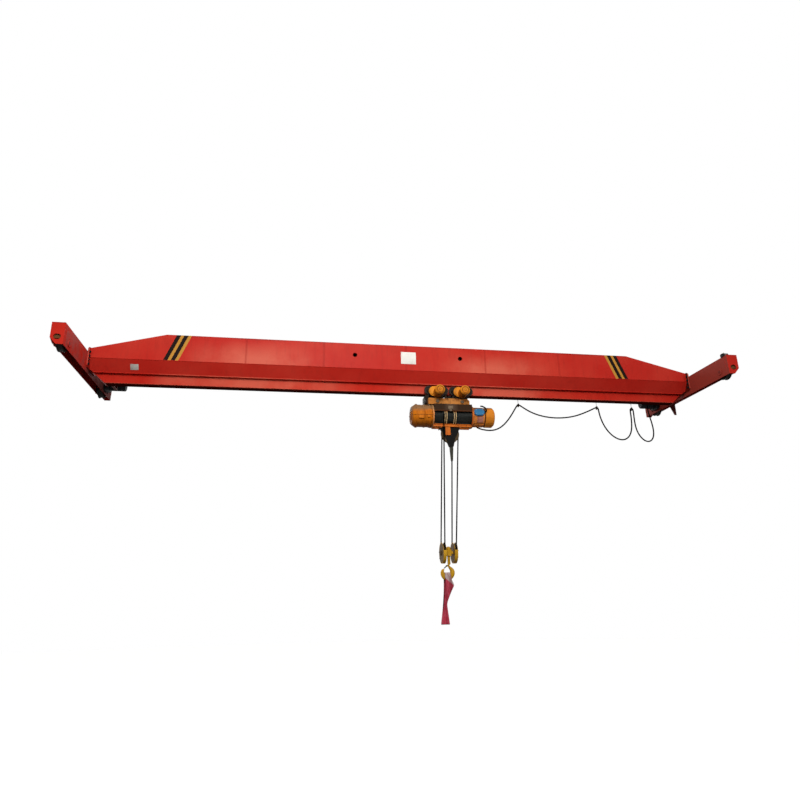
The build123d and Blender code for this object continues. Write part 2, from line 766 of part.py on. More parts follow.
def upper_block():
    """Two cheeks with pins, cross bars and a bracket, hung under the slot of the hoist body."""
    gap = upper_width / 2 + upper_cheek_gap
    reach = upper_rim_radius + upper_cheek_gap + 8
    top = hoist_z - body_radius + 16
    face = upper_y - gap - upper_cheek
    back = upper_y + gap + upper_cheek
    foot = wedge_pin_z - 26
    piece = rod_y(upper_x, face, back, upper_z, upper_pin_radius)
    piece += rod_y(wedge_x, face, back, wedge_pin_z, wedge_pin_radius)
    outline = [(upper_x - reach, top), (upper_x + reach, top), (upper_x + reach, top - 44),
               (upper_x + 96, upper_z - 70), (wedge_x + 40, foot), (wedge_x - 40, foot),
               (upper_x - 96, upper_z - 70), (upper_x - reach, top - 44)]
    for y in (upper_y - gap, upper_y + gap + upper_cheek):
        piece += prism(outline, Plane.XZ.offset(-y), upper_cheek)
    for x in (upper_x - reach, upper_x + reach - 16):
        piece += block(x, x + 16, -strip_half, strip_half, top - 44, top)
    piece += block(bracket_left, bracket_left + bracket_width, face - bracket_depth, face, bracket_foot_z,
                   top + 8)
    return piece - rod_x(upper_x - 2 * reach, upper_x + 2 * reach, 0, hoist_z, body_radius)


def wedge_socket():
    """Tapered rope socket pinned between the cheeks."""
    half = wedge_width / 2
    waist = wedge_top_z - 90
    outline = [(wedge_x - half, wedge_top_z), (wedge_x + half, wedge_top_z), (wedge_x + half, waist),
               (wedge_x + 17, wedge_bottom_z), (wedge_x - 17, wedge_bottom_z), (wedge_x - half, waist)]
    socket = prism(outline, Plane.XZ.offset(-upper_y - wedge_depth / 2), wedge_depth)
    socket = chamfer(socket.faces().sort_by(Axis.Z)[0].edges(), 4)
    return socket - rod_y(wedge_x, upper_y - wedge_depth, upper_y + wedge_depth, wedge_pin_z,
                          wedge_pin_radius + running_fit)


def rope_falls():
    """The four falls of wire rope between the hoist and the hook block, in the order they are reeved."""
    left = block_x - block_sheave_offset
    right = block_x + block_sheave_offset
    side = block_rope_radius
    from_drum = drum_radius + 3 * hoist_rope_radius + seat_gap
    foot = block_z + rope_foot_rise
    head = upper_z - rope_foot_rise
    ends = [((drum_fall_x, -from_drum, hoist_z), (left, -side, foot)),
            ((upper_x - upper_rope_radius, upper_y, head), (left, side, foot)),
            ((upper_x + upper_rope_radius, upper_y, head), (right, -side, foot)),
            ((wedge_x, upper_y, wedge_bottom_z - 2), (right, side, foot))]
    return [rod_between(start, end, hoist_rope_radius) for start, end in ends]


def crosshead():
    """Trunnion block of the hook block with the axle of both sheaves."""
    reach = block_sheave_offset + block_sheave_width / 2 + guard_gap + guard_wall + 8
    body = block(-crosshead_width / 2, crosshead_width / 2, -crosshead_depth / 2, crosshead_depth / 2,
                 -crosshead_height / 2, crosshead_height / 2)
    body = fillet(body.edges().filter_by(Axis.Z), 16)
    body += rod_x(-reach, reach, 0, 0, block_axle_radius)
    body -= Cylinder(hook_shank_radius + running_fit, crosshead_height + 80)
    return Pos(block_x, 0, block_z) * body


def block_sheave(side):
    """One rope sheave of the hook block."""
    wheel = grooved_sheave(block_sheave_radius, block_rope_radius, block_sheave_width,
                           block_axle_radius + running_fit)
    return Pos(block_x + side * block_sheave_offset, 0, block_z) * wheel


def sheave_guard(side):
    """Pressed cover: two discs and a band that leaves the top open for the ropes."""
    inner = block_sheave_width / 2 + guard_gap
    outer = inner + guard_wall
    cover = rod_x(-outer, outer, 0, 0, guard_radius) - rod_x(-inner, inner, 0, 0, guard_radius - guard_wall)
    cover -= block(-inner, inner, -guard_radius, guard_radius, guard_rise, guard_radius)
    cover -= rod_x(-outer - 1, outer + 1, 0, 0, block_axle_radius + running_fit)
    return Pos(block_x + side * block_sheave_offset, 0, block_z) * cover


def hook_section(angle_deg, thickness, width):
    """Oval section of the hook where it bends round the bowl, at an angle from +X."""
    angle = math.radians(angle_deg)
    radius = bowl_radius + thickness / 2
    origin = (bowl_x + radius * math.cos(angle), 0, bowl_z + radius * math.sin(angle))
    plane = Plane(origin=origin, x_dir=(math.cos(angle), 0, math.sin(angle)),
                  z_dir=(math.sin(angle), 0, -math.cos(angle)))
    return plane * Ellipse(thickness / 2, width / 2)


def hook():
    """Forged single hook: shank, oval bowl of changing section, tip, nut and latch lug."""
    shank_end = bowl_z + hook_neck_rise
    start = Plane(origin=(block_x, 0, shank_end), x_dir=(1, 0, 0), z_dir=(0, 0, -1))
    sections = [start * Ellipse(hook_shank_radius, hook_shank_radius)]
    for angle, thickness, width in hook_sections:
        sections.append(hook_section(angle, thickness, width))
    body = loft(sections)
    top = block_z + crosshead_height / 2
    body += Pos(block_x, 0, (shank_end + top) / 2) * Cylinder(hook_shank_radius, top - shank_end)
    nut_z = top + seat_gap
    body += Pos(block_x, 0, nut_z + nut_height / 2) * extrude(RegularPolygon(nut_radius, 6), nut_height / 2,
                                                             both=True)
    body += Pos(block_x, 0, top + (nut_height + 14) / 2) * Cylinder(hook_shank_radius - 3, nut_height + 14)
    body += block(latch_x - 12, block_x, -latch_lug / 2, latch_lug / 2, latch_z - 14, latch_z + 14)
    body -= rod_y(latch_x, -latch_lug, latch_lug, latch_z, latch_pin_radius + running_fit)
    return body


def latch():
    """Safety latch: a bent plate on a pin through the hook's lug."""
    inner = latch_lug / 2 + 1.5
    piece = rod_y(latch_x, -inner - latch_plate, inner + latch_plate, latch_z, latch_pin_radius)
    tip_x = latch_x - latch_reach
    tip_z = latch_z - latch_fall
    outline = [(latch_x + 7, latch_z + 8), (latch_x - 10, latch_z + 9), (tip_x, tip_z),
               (tip_x + 6, tip_z - 9), (latch_x + 5, latch_z - 9)]
    for y in (-inner, inner + latch_plate):
        piece += prism(outline, Plane.XZ.offset(-y), latch_plate)
    tongue = [(latch_x - 22, latch_z - 3), (tip_x, tip_z), (tip_x + 6, tip_z - 9),
              (latch_x - 17, latch_z - 13)]
    return piece + prism(tongue, Plane.XZ.offset(-inner), 2 * inner)


def web_sling():
    """Web sling that hangs doubled over the hook's bowl, its legs gathered to a neck."""
    side_view = [(-sling_half, sling_shoulder_z), (sling_half, sling_shoulder_z), (sling_half, sling_turn_z),
                 (sling_ply, sling_neck_z), (sling_ply, sling_bottom_z), (-sling_ply, sling_bottom_z),
                 (-sling_ply, sling_neck_z), (-sling_half, sling_turn_z)]
    neck = sling_neck_width / 2
    foot = sling_foot_width / 2
    front_view = [(bowl_x - 53, sling_shoulder_z), (bowl_x + 53, sling_shoulder_z),
                  (bowl_x + 58, sling_turn_z + 40), (bowl_x + 108, sling_turn_z - 60),
                  (bowl_x + 88, sling_turn_z - 100), (sling_neck_x + neck, sling_neck_z),
                  (sling_neck_x + foot, sling_bottom_z), (sling_neck_x - foot, sling_bottom_z),
                  (sling_neck_x - neck, sling_neck_z), (bowl_x - 62, sling_turn_z - 120)]
    legs = prism(side_view, Plane.YZ.offset(bowl_x - sling_room), 2 * sling_room)
    legs &= prism(front_view, Plane.XZ.offset(-sling_room), 2 * sling_room)
    inner = sling_half - sling_ply
    gap = [(-inner, sling_shoulder_z + 1), (inner, sling_shoulder_z + 1), (inner, sling_turn_z),
           (0, sling_neck_z + 20), (-inner, sling_turn_z)]
    legs -= prism(gap, Plane.YZ.offset(bowl_x - sling_room), 2 * sling_room)
    saddle = rod_y(bowl_x, -sling_half + 4, sling_half - 4, bowl_z, bowl_radius - seat_gap)
    saddle &= block(bowl_x - 100, bowl_x + 100, -sling_half, sling_half, bowl_z - bowl_radius,
                    sling_shoulder_z)
    return legs + saddle


def hanger(x):
    """Cable hanger: ring on the wire, stem and a round saddle between two cheeks."""
    ring_z = wire_z - (ring_radius - ring_bar - wire_radius - seat_gap)
    ring = Pos(0, wire_y, ring_z) * Rot(0, 90, 0) * Torus(ring_radius, ring_bar)
    inner = cable_radius + 1
    top = saddle_z + saddle_turn + cable_radius + 2
    stem_top = ring_z - ring_radius + 4
    piece = ring + Pos(0, wire_y, (stem_top + top) / 2) * Cylinder(4, stem_top - top)
    piece += block(-14, 14, wire_y - inner - 4, wire_y + inner + 4, top, top + 6)
    for y in (wire_y - inner - 4, wire_y + inner):
        piece += block(-14, 14, y, y + 4, saddle_z, top)
    piece += rod_y(0, wire_y - inner - 4, wire_y + inner + 4, saddle_z, saddle_turn - cable_radius - 4)
    return Pos(x, 0, 0) * piece


def cable_radii(points):
    """Largest tangent arcs that the runs beside each corner leave room for."""
    radii = []
    for before, here, after in zip(points, points[1:], points[2:]):
        run_in = Vector(*here) - Vector(*before)
        run_out = Vector(*after) - Vector(*here)
        turn = math.radians(run_in.get_angle(run_out))
        radii.append(0.45 * min(run_in.length, run_out.length) / math.tan(turn / 2))
    return radii


def festoon_cable():
    """Cable tube from the hoist's gland over three hangers to the gland on the girder."""
    radii = cable_radii(cable_route)
    path = FilletPolyline(*cable_route, radius=radii)
    print("cable radii", [round(radius) for radius in radii])
    tube = sweep(Plane(origin=path @ 0, z_dir=path % 0) * Circle(cable_radius), path=path)
    ideal = math.pi * cable_radius ** 2 * path.length
    print("cable length", round(path.length), "volume ratio", round(tube.volume / ideal, 4))
    return tube


save("girder_shell", girder_shell())
save("slope_plates", Compound(children=slope_plates()))
save("i_beam", i_beam())
save("girder_ends", Compound(children=[girder_end_piece(-1), girder_end_piece(1)]))
for side, word in ((-1, "left"), (1, "right")):
    save("truck_" + word, truck(side))
    save("bridge_drive_" + word, bridge_drive(side))
    for end, end_word in ((-1, "near"), (1, "far")):
        save("wheel_" + word + "_" + end_word, runway_wheel(side, end))
save("limit_switch", limit_switch())
save("track_wire", track_wire())
save("wire_anchors", Compound(children=[left_anchor(), right_anchor()]))
for index, x in enumerate(bogie_centres):
    save("bogie_%d" % (index + 1), bogie(x))
    save("trolley_drive_%d" % (index + 1), trolley_drive(x))
    for place, dx in (("a", -bogie_half_base), ("b", bogie_half_base)):
        save("trolley_wheels_%d%s" % (index + 1, place), Compound(children=trolley_wheels(x + dx)))
save("trolley_frame", trolley_frame())
save("drum_housing", drum_housing())
save("hoist_gearbox", hoist_gearbox())
save("hoist_motor", hoist_motor())
save("rope_drum", rope_drum())
save("rope_guide", rope_guide())
save("terminal_box", terminal_box())
save("upper_sheave", upper_sheave())
save("upper_block", upper_block())
save("wedge_socket", wedge_socket())
save("rope_falls", Compound(children=rope_falls()))
save("crosshead", crosshead())
for side, word in ((-1, "left"), (1, "right")):
    save("block_sheave_" + word, block_sheave(side))
save("sheave_guards", Compound(children=[sheave_guard(-1), sheave_guard(1)]))
save("hook", hook())
save("hook_latch", latch())
save("web_sling", web_sling())
for index, x in enumerate(hanger_places):
    save("cable_hanger_%d" % (index + 1), hanger(x))
save("festoon_cable", festoon_cable())
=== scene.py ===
import math
import random

import bmesh
import bpy
from mathutils import Matrix, Vector


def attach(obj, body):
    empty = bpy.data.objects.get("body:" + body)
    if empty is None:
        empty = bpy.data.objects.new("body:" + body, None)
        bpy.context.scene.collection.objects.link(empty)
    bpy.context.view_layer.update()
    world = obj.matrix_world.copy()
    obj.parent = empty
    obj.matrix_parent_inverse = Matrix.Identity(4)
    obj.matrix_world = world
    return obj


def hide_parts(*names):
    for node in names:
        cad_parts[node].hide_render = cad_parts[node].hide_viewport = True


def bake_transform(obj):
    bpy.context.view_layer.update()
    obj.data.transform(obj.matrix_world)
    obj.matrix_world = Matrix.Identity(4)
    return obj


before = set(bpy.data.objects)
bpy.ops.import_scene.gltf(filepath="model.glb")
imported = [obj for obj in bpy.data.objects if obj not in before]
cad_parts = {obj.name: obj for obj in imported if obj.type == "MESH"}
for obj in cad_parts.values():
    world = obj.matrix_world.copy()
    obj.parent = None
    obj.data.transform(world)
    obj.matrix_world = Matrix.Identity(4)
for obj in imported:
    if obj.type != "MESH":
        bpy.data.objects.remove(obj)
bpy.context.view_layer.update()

# Camera. It stands on the shop floor left of mid-span and looks up along the girder.
# Yaw, pitch and roll are in radians; the focal length and centre are in pixels of the 800 x 800 image.
image_size = 800
sensor_width = 36
camera_place = (-2.2218, -11.8809, -4.0667)
camera_yaw, camera_pitch, camera_roll = 0.16794, 0.32644, -0.01767
focal_pixels, centre_u, centre_v = 650.057, 397.93, 387.40
forward = Vector((math.sin(camera_yaw) * math.cos(camera_pitch),
                  math.cos(camera_yaw) * math.cos(camera_pitch), math.sin(camera_pitch)))
level_right = Vector((math.cos(camera_yaw), -math.sin(camera_yaw), 0))
level_up = level_right.cross(forward)
right = level_right * math.cos(camera_roll) + level_up * math.sin(camera_roll)
up = level_up * math.cos(camera_roll) - level_right * math.sin(camera_roll)
scene = bpy.context.scene
camera = bpy.data.objects.new("camera", bpy.data.cameras.new("camera"))
scene.collection.objects.link(camera)
camera.matrix_world = Matrix.Translation(camera_place) @ Matrix((right, up, -forward)).transposed().to_4x4()
camera.data.sensor_width = sensor_width
camera.data.lens = focal_pixels / image_size * sensor_width
camera.data.shift_x = (image_size / 2 - centre_u) / image_size
camera.data.shift_y = (centre_v - image_size / 2) / image_size
camera.data.clip_end = 200
scene.camera = camera
scene.view_settings.view_transform = "Standard"


# Light as in a bright shop: white all round for the eye, but little of it from below, as under a roof.
# One big soft lamp stands near the camera, a weak one to the right and one behind the girder.
def colour(value):
    """Linear colour from an sRGB hex string."""
    channels = [int(value[place:place + 2], 16) / 255 for place in (0, 2, 4)]
    return [c / 12.92 if c <= 0.04045 else ((c + 0.055) / 1.055) ** 2.4 for c in channels] + [1]


def add_node(tree, kind, output, inputs={}, **settings):
    """Add a shader node and give its output; an input is a value or another node's output."""
    node = tree.nodes.new("ShaderNode" + kind)
    for name, value in settings.items():
        setattr(node, name, value)
    for name, value in inputs.items():
        if isinstance(value, bpy.types.NodeSocket):
            tree.links.new(value, node.inputs[name])
        else:
            node.inputs[name].default_value = value
    return node.outputs[output]


light_from_below, light_from_above = 0.10, 0.62
world = bpy.data.worlds.new("surroundings")
world.use_nodes = True
scene.world = world
tree = world.node_tree
direction = add_node(tree, "TexCoord", "Generated")
height = add_node(tree, "SeparateXYZ", "Z", {"Vector": direction})
ambient = add_node(tree, "MapRange", "Result", {"Value": height, "From Min": -0.15, "From Max": 0.25,
                                      "To Min": light_from_below, "To Max": light_from_above})
for ray in ("Is Camera Ray", "Is Glossy Ray", "Is Transmission Ray"):
    sees = add_node(tree, "LightPath", ray)
    ambient = add_node(tree, "Math", 0, {0: ambient, 1: sees}, operation="MAXIMUM")
tree.nodes["Background"].inputs["Color"].default_value = colour("FFFFFF")
tree.links.new(ambient, tree.nodes["Background"].inputs["Strength"])

lamp_size = 5
for name, place, target, size, power in (
        ("key", (-1.7, -11, 3.2), (-1.2, 0, 0.1), lamp_size, 1120),
        ("right_fill", (9, -6, 6), (-5, 0, 0), 4, 90),
        ("back_fill", (1.5, 11, 4.5), (0.5, 0, 0.1), lamp_size, 520)):
    light = bpy.data.lights.new(name, "AREA")
    light.shape = "SQUARE"
    light.size = size
    light.energy = power
    lamp = bpy.data.objects.new(name, light)
    scene.collection.objects.link(lamp)
    lamp.location = place
    lamp.rotation_euler = (Vector(target) - Vector(place)).to_track_quat("-Z", "Y").to_euler()


# Shop floor: pale concrete, trowelled smooth, well below the hook. It glows a little for the camera alone,
# so that it meets the white surroundings, and it still takes the crane's shadow.
def finished(name, shape, body, material, sharp=35):
    """Make a shape a piece that rides on a body: faces outwards, smooth but for its sharp edges."""
    bmesh.ops.recalc_face_normals(shape, faces=shape.faces)
    for face in shape.faces:
        face.smooth = True
    mesh = bpy.data.meshes.new(name)
    shape.to_mesh(mesh)
    shape.free()
    mesh.set_sharp_from_angle(angle=math.radians(sharp))
    mesh.materials.append(material)
    piece = bpy.data.objects.new(name, mesh)
    scene.collection.objects.link(piece)
    if body:
        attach(piece, body)
    return piece


floor_z, floor_radius, floor_glow = -8.2, 80, 0.385
trowelled_concrete = bpy.data.materials.new("trowelled_concrete")
trowelled_concrete.use_nodes = True
tree = trowelled_concrete.node_tree
floor_shader = tree.nodes["Principled BSDF"]
floor_shader.inputs["Base Color"].default_value = colour("FAFAF8")
floor_shader.inputs["Roughness"].default_value = 0.8
floor_shader.inputs["Emission Color"].default_value = colour("FFFFFF")
floor_seen = add_node(tree, "LightPath", "Is Camera Ray")
glow = add_node(tree, "Math", 0, {0: floor_seen, 1: floor_glow}, operation="MULTIPLY")
tree.links.new(glow, floor_shader.inputs["Emission Strength"])
floor_shape = bmesh.new()
bmesh.ops.create_circle(floor_shape, cap_ends=True, segments=96, radius=floor_radius,
                        matrix=Matrix.Translation((0, 0, floor_z)))
floor = finished("floor", floor_shape, None, trowelled_concrete)
floor.visible_diffuse = False


# Girder shell: steel plate bent to a channel, welded up from six lengths and sprayed with red enamel.
# Shop dust has chalked the enamel pink in patches; the hazard bands are sprayed over masking tape.
def weathered(name, base, faded, dirt, roughness=0.4, dirt_amount=0.35, fade_amount=0.5, blotch_mm=900,
              metallic=0, gloss_level=0.06):
    """A finish with faded blotches, hanging streaks of dirt, small chips and a fine bump.

    Streaks are about 70 x 450 mm and chips 22 mm. The bump is the peel of sprayed paint or the skin of a
    casting, 1 mm on the real one and drawn at 4 mm to show. Dust and grease have dulled all gloss.
    """
    material = bpy.data.materials.new(name)
    material.use_nodes = True
    tree = material.node_tree
    place = add_node(tree, "TexCoord", "Object")
    blotches = add_node(tree, "TexNoise", "Fac", {"Vector": place, "Scale": 1000 / blotch_mm, "Detail": 5,
                                           "Roughness": 0.55})
    fading = add_node(tree, "MapRange", "Result", {"Value": blotches, "From Min": 0.38, "From Max": 0.66,
                                         "To Max": fade_amount})
    hanging = add_node(tree, "Mapping", "Vector", {"Vector": place, "Scale": (14, 14, 2.2)})
    streaks = add_node(tree, "TexNoise", "Fac", {"Vector": hanging, "Scale": 1, "Detail": 6,
                                          "Roughness": 0.65})
    streaks = add_node(tree, "MapRange", "Result", {"Value": streaks, "From Min": 0.5, "From Max": 0.78,
                                          "To Max": dirt_amount})
    specks = add_node(tree, "TexNoise", "Fac", {"Vector": place, "Scale": 45, "Detail": 4})
    chips = add_node(tree, "MapRange", "Result", {"Value": specks, "From Min": 0.70, "From Max": 0.74,
                                        "To Max": dirt_amount * 1.6})
    soil = add_node(tree, "Math", 0, {0: streaks, 1: chips}, operation="MAXIMUM", use_clamp=True)
    first = add_node(tree, "Mix", "Result", {"Factor": fading, "A": colour(base), "B": colour(faded)},
                     data_type="RGBA")
    second = add_node(tree, "Mix", "Result", {"Factor": soil, "A": first, "B": colour(dirt)},
                      data_type="RGBA")
    wear = add_node(tree, "MapRange", "Result", {"Value": specks, "To Min": roughness - 0.06,
                                       "To Max": roughness + 0.14})
    peel = add_node(tree, "TexNoise", "Fac", {"Vector": place, "Scale": 260, "Detail": 2})
    bump = add_node(tree, "Bump", "Normal", {"Height": peel, "Strength": 0.12, "Distance": 0.0012})
    shader = tree.nodes["Principled BSDF"]
    shader.inputs["Metallic"].default_value = metallic
    shader.inputs["Specular IOR Level"].default_value = gloss_level
    tree.links.new(second, shader.inputs["Base Color"])
    tree.links.new(wear, shader.inputs["Roughness"])
    tree.links.new(bump, shader.inputs["Normal"])
    return material


def lay_over(material, tint, amount, *masks):
    """Lay a colour over a finish where all of its masks are 1.

    A mask is (what, low, high) and climbs from 0 at low to 1 at high, in metres. It follows an axis, a
    direction across the piece, the settings of a noise that makes patches, or a node's output.
    """
    tree = material.node_tree
    place = add_node(tree, "TexCoord", "Object")
    cover = amount
    for what, low, high in masks:
        if isinstance(what, str):
            what = add_node(tree, "SeparateXYZ", what, {"Vector": place})
        elif isinstance(what, tuple):
            what = add_node(tree, "VectorMath", "Value", {0: place, 1: what}, operation="DOT_PRODUCT")
        elif isinstance(what, dict):
            what = add_node(tree, "TexNoise", "Fac", {"Vector": place, **what})
        mask = add_node(tree, "MapRange", "Result", {"Value": what, "From Min": low, "From Max": high})
        cover = add_node(tree, "Math", 0, {0: cover, 1: mask}, operation="MULTIPLY")
    shader = tree.nodes["Principled BSDF"]
    below = shader.inputs["Base Color"].links[0].from_socket
    layer = add_node(tree, "Mix", "Result", {"Factor": cover, "A": below, "B": colour(tint)},
                     data_type="RGBA")
    tree.links.new(layer, shader.inputs["Base Color"])


def between(what, low, high, edge):
    """Two masks that leave a band, with an edge of this width inside each side."""
    return (what, low, low + edge), (what, high, high - edge)


def dress(material, *names):
    """Give pieces of the CAD frame their finish."""
    for name in names:
        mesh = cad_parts[name].data
        mesh.materials.clear()
        mesh.materials.append(material)


shell_top, shell_foot, shell_half = 0.811, 0.300, 0.210
plate_joints = (-3.127, -1.669, -0.071, 1.530, 3.080)
shell_enamel = weathered("sprayed_enamel_shell", "B8241A", "C43C2C", "7A2018", 0.38, 0.3, 0.6)
cloud = {"Scale": 0.9, "Detail": 6, "Roughness": 0.6}
for start, end in ((-4.25, -1.6), (0.5, 2.95)):
    lay_over(shell_enamel, "D67058", 0.55, *between("X", start, end, 0.7),
             ("Z", 0.760, 0.420), ("Z", shell_foot, shell_foot + 0.005), (cloud, 0.38, 0.60))
for joint in plate_joints:
    lay_over(shell_enamel, "7C1A12", 0.35, *between("X", joint - 0.030, joint + 0.030, 0.026))
lay_over(shell_enamel, "5A1A12", 0.45, ("Z", 0.770, shell_top), (cloud, 0.38, 0.60))
# Each pair of bands leans towards mid-span at the top; distances from mid-span are measured at the top edge.
band_lean = 0.405
band_yellow, band_black = "BC8634", "0C0A06"
for side, shift in ((-1, 0.038), (1, 0)):
    across = (side, 0, band_lean)
    for low, high, tint in ((4.094, 4.153, band_yellow), (4.153, 4.230, band_black),
                            (4.230, 4.286, band_yellow), (4.286, 4.362, band_black)):
        low, high = [reach + shift + band_lean * shell_top for reach in (low, high)]
        lay_over(shell_enamel, tint, 0.99, *between(across, low - 0.002, high + 0.002, 0.004),
                 ("Y", -0.2085, -0.2095), ("Z", 0.305, 0.307))
dress(shell_enamel, "girder_shell")

# Slope plates, I-beam and joint flanges: cut plate and a rolled beam in the same sprayed enamel. The beam's
# web is chalked in two long patches; its lower flange is painted near black as shade, with a painted
# highlight above.
red_enamel = weathered("sprayed_enamel_red", "B8241A", "C2382A", "6E1D16", 0.38, 0.25, 0.55)
dress(red_enamel, "slope_plates")
beam_enamel = weathered("sprayed_enamel_beam", "B8241A", "C43C2C", "6E1D16", 0.45, 0.3, 0.6,
                        gloss_level=0)
flange_top = -0.117
# Painted shade: the beam's lower flange near black.
lay_over(beam_enamel, "4A150D", 0.96, ("Z", flange_top, flange_top - 0.008))
# Painted highlight: a thin pale line just above the lower flange.
lay_over(beam_enamel, "DC8068", 0.3, ("Z", -0.118, -0.114), ("Z", -0.094, -0.100))
for start, end in ((-5.0, -1.0), (-0.5, 3.2)):
    lay_over(beam_enamel, "D8745C", 0.5, *between("X", start, end, 0.8),
             ("Z", -0.112, -0.108), ({"Scale": 0.8, "Detail": 6, "Roughness": 0.6}, 0.34, 0.56))
dress(beam_enamel, "i_beam")
joint_enamel = weathered("brushed_enamel_joints", "8E1C14", "A02C20", "4A120C", 0.45, 0.5, 0.5, 200)
# Painted shade on the right joint's flanges, and a painted highlight along the front edges of both joints.
lay_over(joint_enamel, "3E120A", 0.85, ("X", 5.0, 5.1))
lay_over(joint_enamel, "C85A4A", 0.8, ("Y", -0.277, -0.279))
dress(joint_enamel, "girder_ends")


# Weld seams of the girder: hand-laid arc welds along both edges of the slopes, round the ends and across the
# plate joints, painted over. A bead is 3 to 6 mm high and its width wanders a little.
def aligned(place, direction):
    """Matrix that carries +Z to a direction, at a place."""
    return Matrix.Translation(place) @ Vector(direction).to_track_quat("Z", "Y").to_matrix().to_4x4()


def add_swept(shape, places, sizes, sides):
    """Round bar: a circle is extruded from each place, a matrix, to the next and scaled to its size."""
    made = bmesh.ops.create_circle(shape, cap_ends=True, segments=sides, radius=sizes[0],
                                   matrix=places[0] @ Matrix.Rotation(-math.pi / 2, 4, "Z"))
    rim = list({edge for vertex in made["verts"] for edge in vertex.link_edges})
    for index in range(1, len(places)):
        grown = bmesh.ops.extrude_edge_only(shape, edges=rim)["geom"]
        rim = [part for part in grown if isinstance(part, bmesh.types.BMEdge) and part.is_boundary]
        swell = sizes[index] / sizes[index - 1]
        step = places[index] @ Matrix.Diagonal((swell, swell, 1, 1)) @ places[index - 1].inverted()
        bmesh.ops.transform(shape, matrix=step, verts=[p for p in grown if isinstance(p, bmesh.types.BMVert)])
    bmesh.ops.contextual_create(shape, geom=rim)


def add_bead(shape, corners, radius, step, seed):
    """Weld bead along a line of corners: a thin ridge that swells and shrinks from step to step."""
    rng = random.Random(seed)
    for start, end in zip(corners, corners[1:]):
        along = Vector(end) - Vector(start)
        count = max(2, round(along.length / step))
        places = [aligned(Vector(start) + along * index / count, along) for index in range(count + 1)]
        add_swept(shape, places, [radius * rng.uniform(0.8, 1.15) for _ in places], 6)


girder_end = 5.869
seams = bmesh.new()
for y in (-shell_half, shell_half):
    add_bead(seams, [(-5.868, y, shell_foot), (5.868, y, shell_foot)], 0.0045, 0.035, 3)
    add_bead(seams, [(-5.640, y * 0.357, 0.083), (5.640, y * 0.357, 0.083)], 0.003, 0.035, 5)
    for x in plate_joints:
        add_bead(seams, [(x, y * 0.996, 0.303), (x, y * 0.996, 0.808)], 0.003, 0.025, 7)
for x in (-girder_end, girder_end):
    for y in (-0.211, 0.211):
        add_bead(seams, [(x, y, shell_foot), (x, y, 0.480)], 0.006, 0.02, 9)
        add_bead(seams, [(x, y, shell_foot), (x, y * 0.46, 0.108)], 0.006, 0.02, 11)
finished("girder_weld_seams", seams, "bridge", red_enamel, 80)


# Plates on the girder: a white stove-enamelled plate riveted to the shell at mid-span, and a small anodised
# aluminium one on the left slope. Both are left bare.
def round_edges(shape, edges, size):
    """Round edges in two steps."""
    bmesh.ops.bevel(shape, geom=list(edges), affect="EDGES", offset=size, segments=2, profile=0.5,
                    material=-1)


def add_rod(shape, start, end, radius, sides=20, end_radius=None, edge=0):
    """Round bar between two points; edge rounds its rims."""
    start, end = Vector(start), Vector(end)
    made = bmesh.ops.create_cone(shape, cap_ends=True, segments=sides, radius1=radius,
                                 radius2=radius if end_radius is None else end_radius,
                                 depth=(end - start).length, matrix=aligned((start + end) / 2, end - start))
    if edge:
        round_edges(shape, {e for v in made["verts"] for e in v.link_edges
                            if any(len(f.verts) > 4 for f in e.link_faces)}, edge)


def add_block(shape, low, high, edge=0.002, matrix=Matrix()):
    """Block between two corners with rounded edges."""
    low, high = Vector(map(min, low, high)), Vector(map(max, low, high))
    made = bmesh.ops.create_cube(shape, size=1, matrix=matrix @ Matrix.Translation((low + high) / 2)
                                 @ Matrix.Diagonal((*(high - low), 1)))
    if edge:
        round_edges(shape, {e for v in made["verts"] for e in v.link_edges}, edge)


white_enamel = weathered("stove_enamelled_plate", "E4E0D6", "F0EDE6", "8A7A6A", 0.5, 0.3, 0.4, 90)
capacity_plate = bmesh.new()
add_block(capacity_plate, (-0.173, -0.2125, 0.430), (0.124, -0.2095, 0.677), 0.001)
for x in (-0.160, 0.111):
    for z in (0.443, 0.664):
        add_rod(capacity_plate, (x, -0.2125, z), (x, -0.2155, z), 0.006, 12, 0.004)
finished("capacity_plate", capacity_plate, "bridge", white_enamel)

anodised = weathered("anodised_aluminium", "A8A49C", "BDB9B2", "5A5048", 0.5, 0.4, 0.4, 90, 0.4)
slope_down = Vector((0, 0.135, -0.217)).normalized()
slope_out = slope_down.cross(Vector((1, 0, 0)))
on_slope = (Matrix.Translation((-5.105, -0.1323, 0.175))
            @ Matrix(((1, 0, 0), slope_down, slope_out)).transposed().to_4x4())
slope_plate = bmesh.new()
add_block(slope_plate, (-0.071, -0.055, 0), (0.071, 0.055, 0.003), 0.001, on_slope)
for x in (-0.063, 0.063):
    for along in (-0.047, 0.047):
        add_rod(slope_plate, *[on_slope @ Vector((x, along, height)) for height in (0.003, 0.006)], 0.005, 12)
finished("slope_name_plate", slope_plate, "bridge", anodised)


# End joints: two flanges drawn together by eight M24 bolts each, heads towards mid-span. The bolts are
# brushed black, half matt.
def add_bolt(shape, place, direction, size):
    """Hexagon head of a bolt of that thread size on its washer, standing on a face."""
    place, direction = Vector(place), Vector(direction).normalized()
    seat = place + direction * size * 0.16
    add_rod(shape, place, seat, size * 0.95, 20)
    add_rod(shape, seat, seat + direction * size * 0.62, size * 0.86, 6, edge=size * 0.05)
    add_rod(shape, seat + direction * size * 0.6, seat + direction * size * 0.9, size * 0.46, 12,
            edge=size * 0.05)


black_enamel = weathered("brushed_black_enamel", "15181A", "26292B", "0A0A0A", 0.45, 0.4, 0.5, 200)
joint_bolts = bmesh.new()
for side in (-1, 1):
    for y in (-0.250, 0.250):
        for z in (0.161, 0.242, 0.316, 0.396):
            add_bolt(joint_bolts, (side * 5.871, y, z), (-side, 0, 0), 0.024)
finished("joint_bolts", joint_bolts, "bridge", black_enamel)
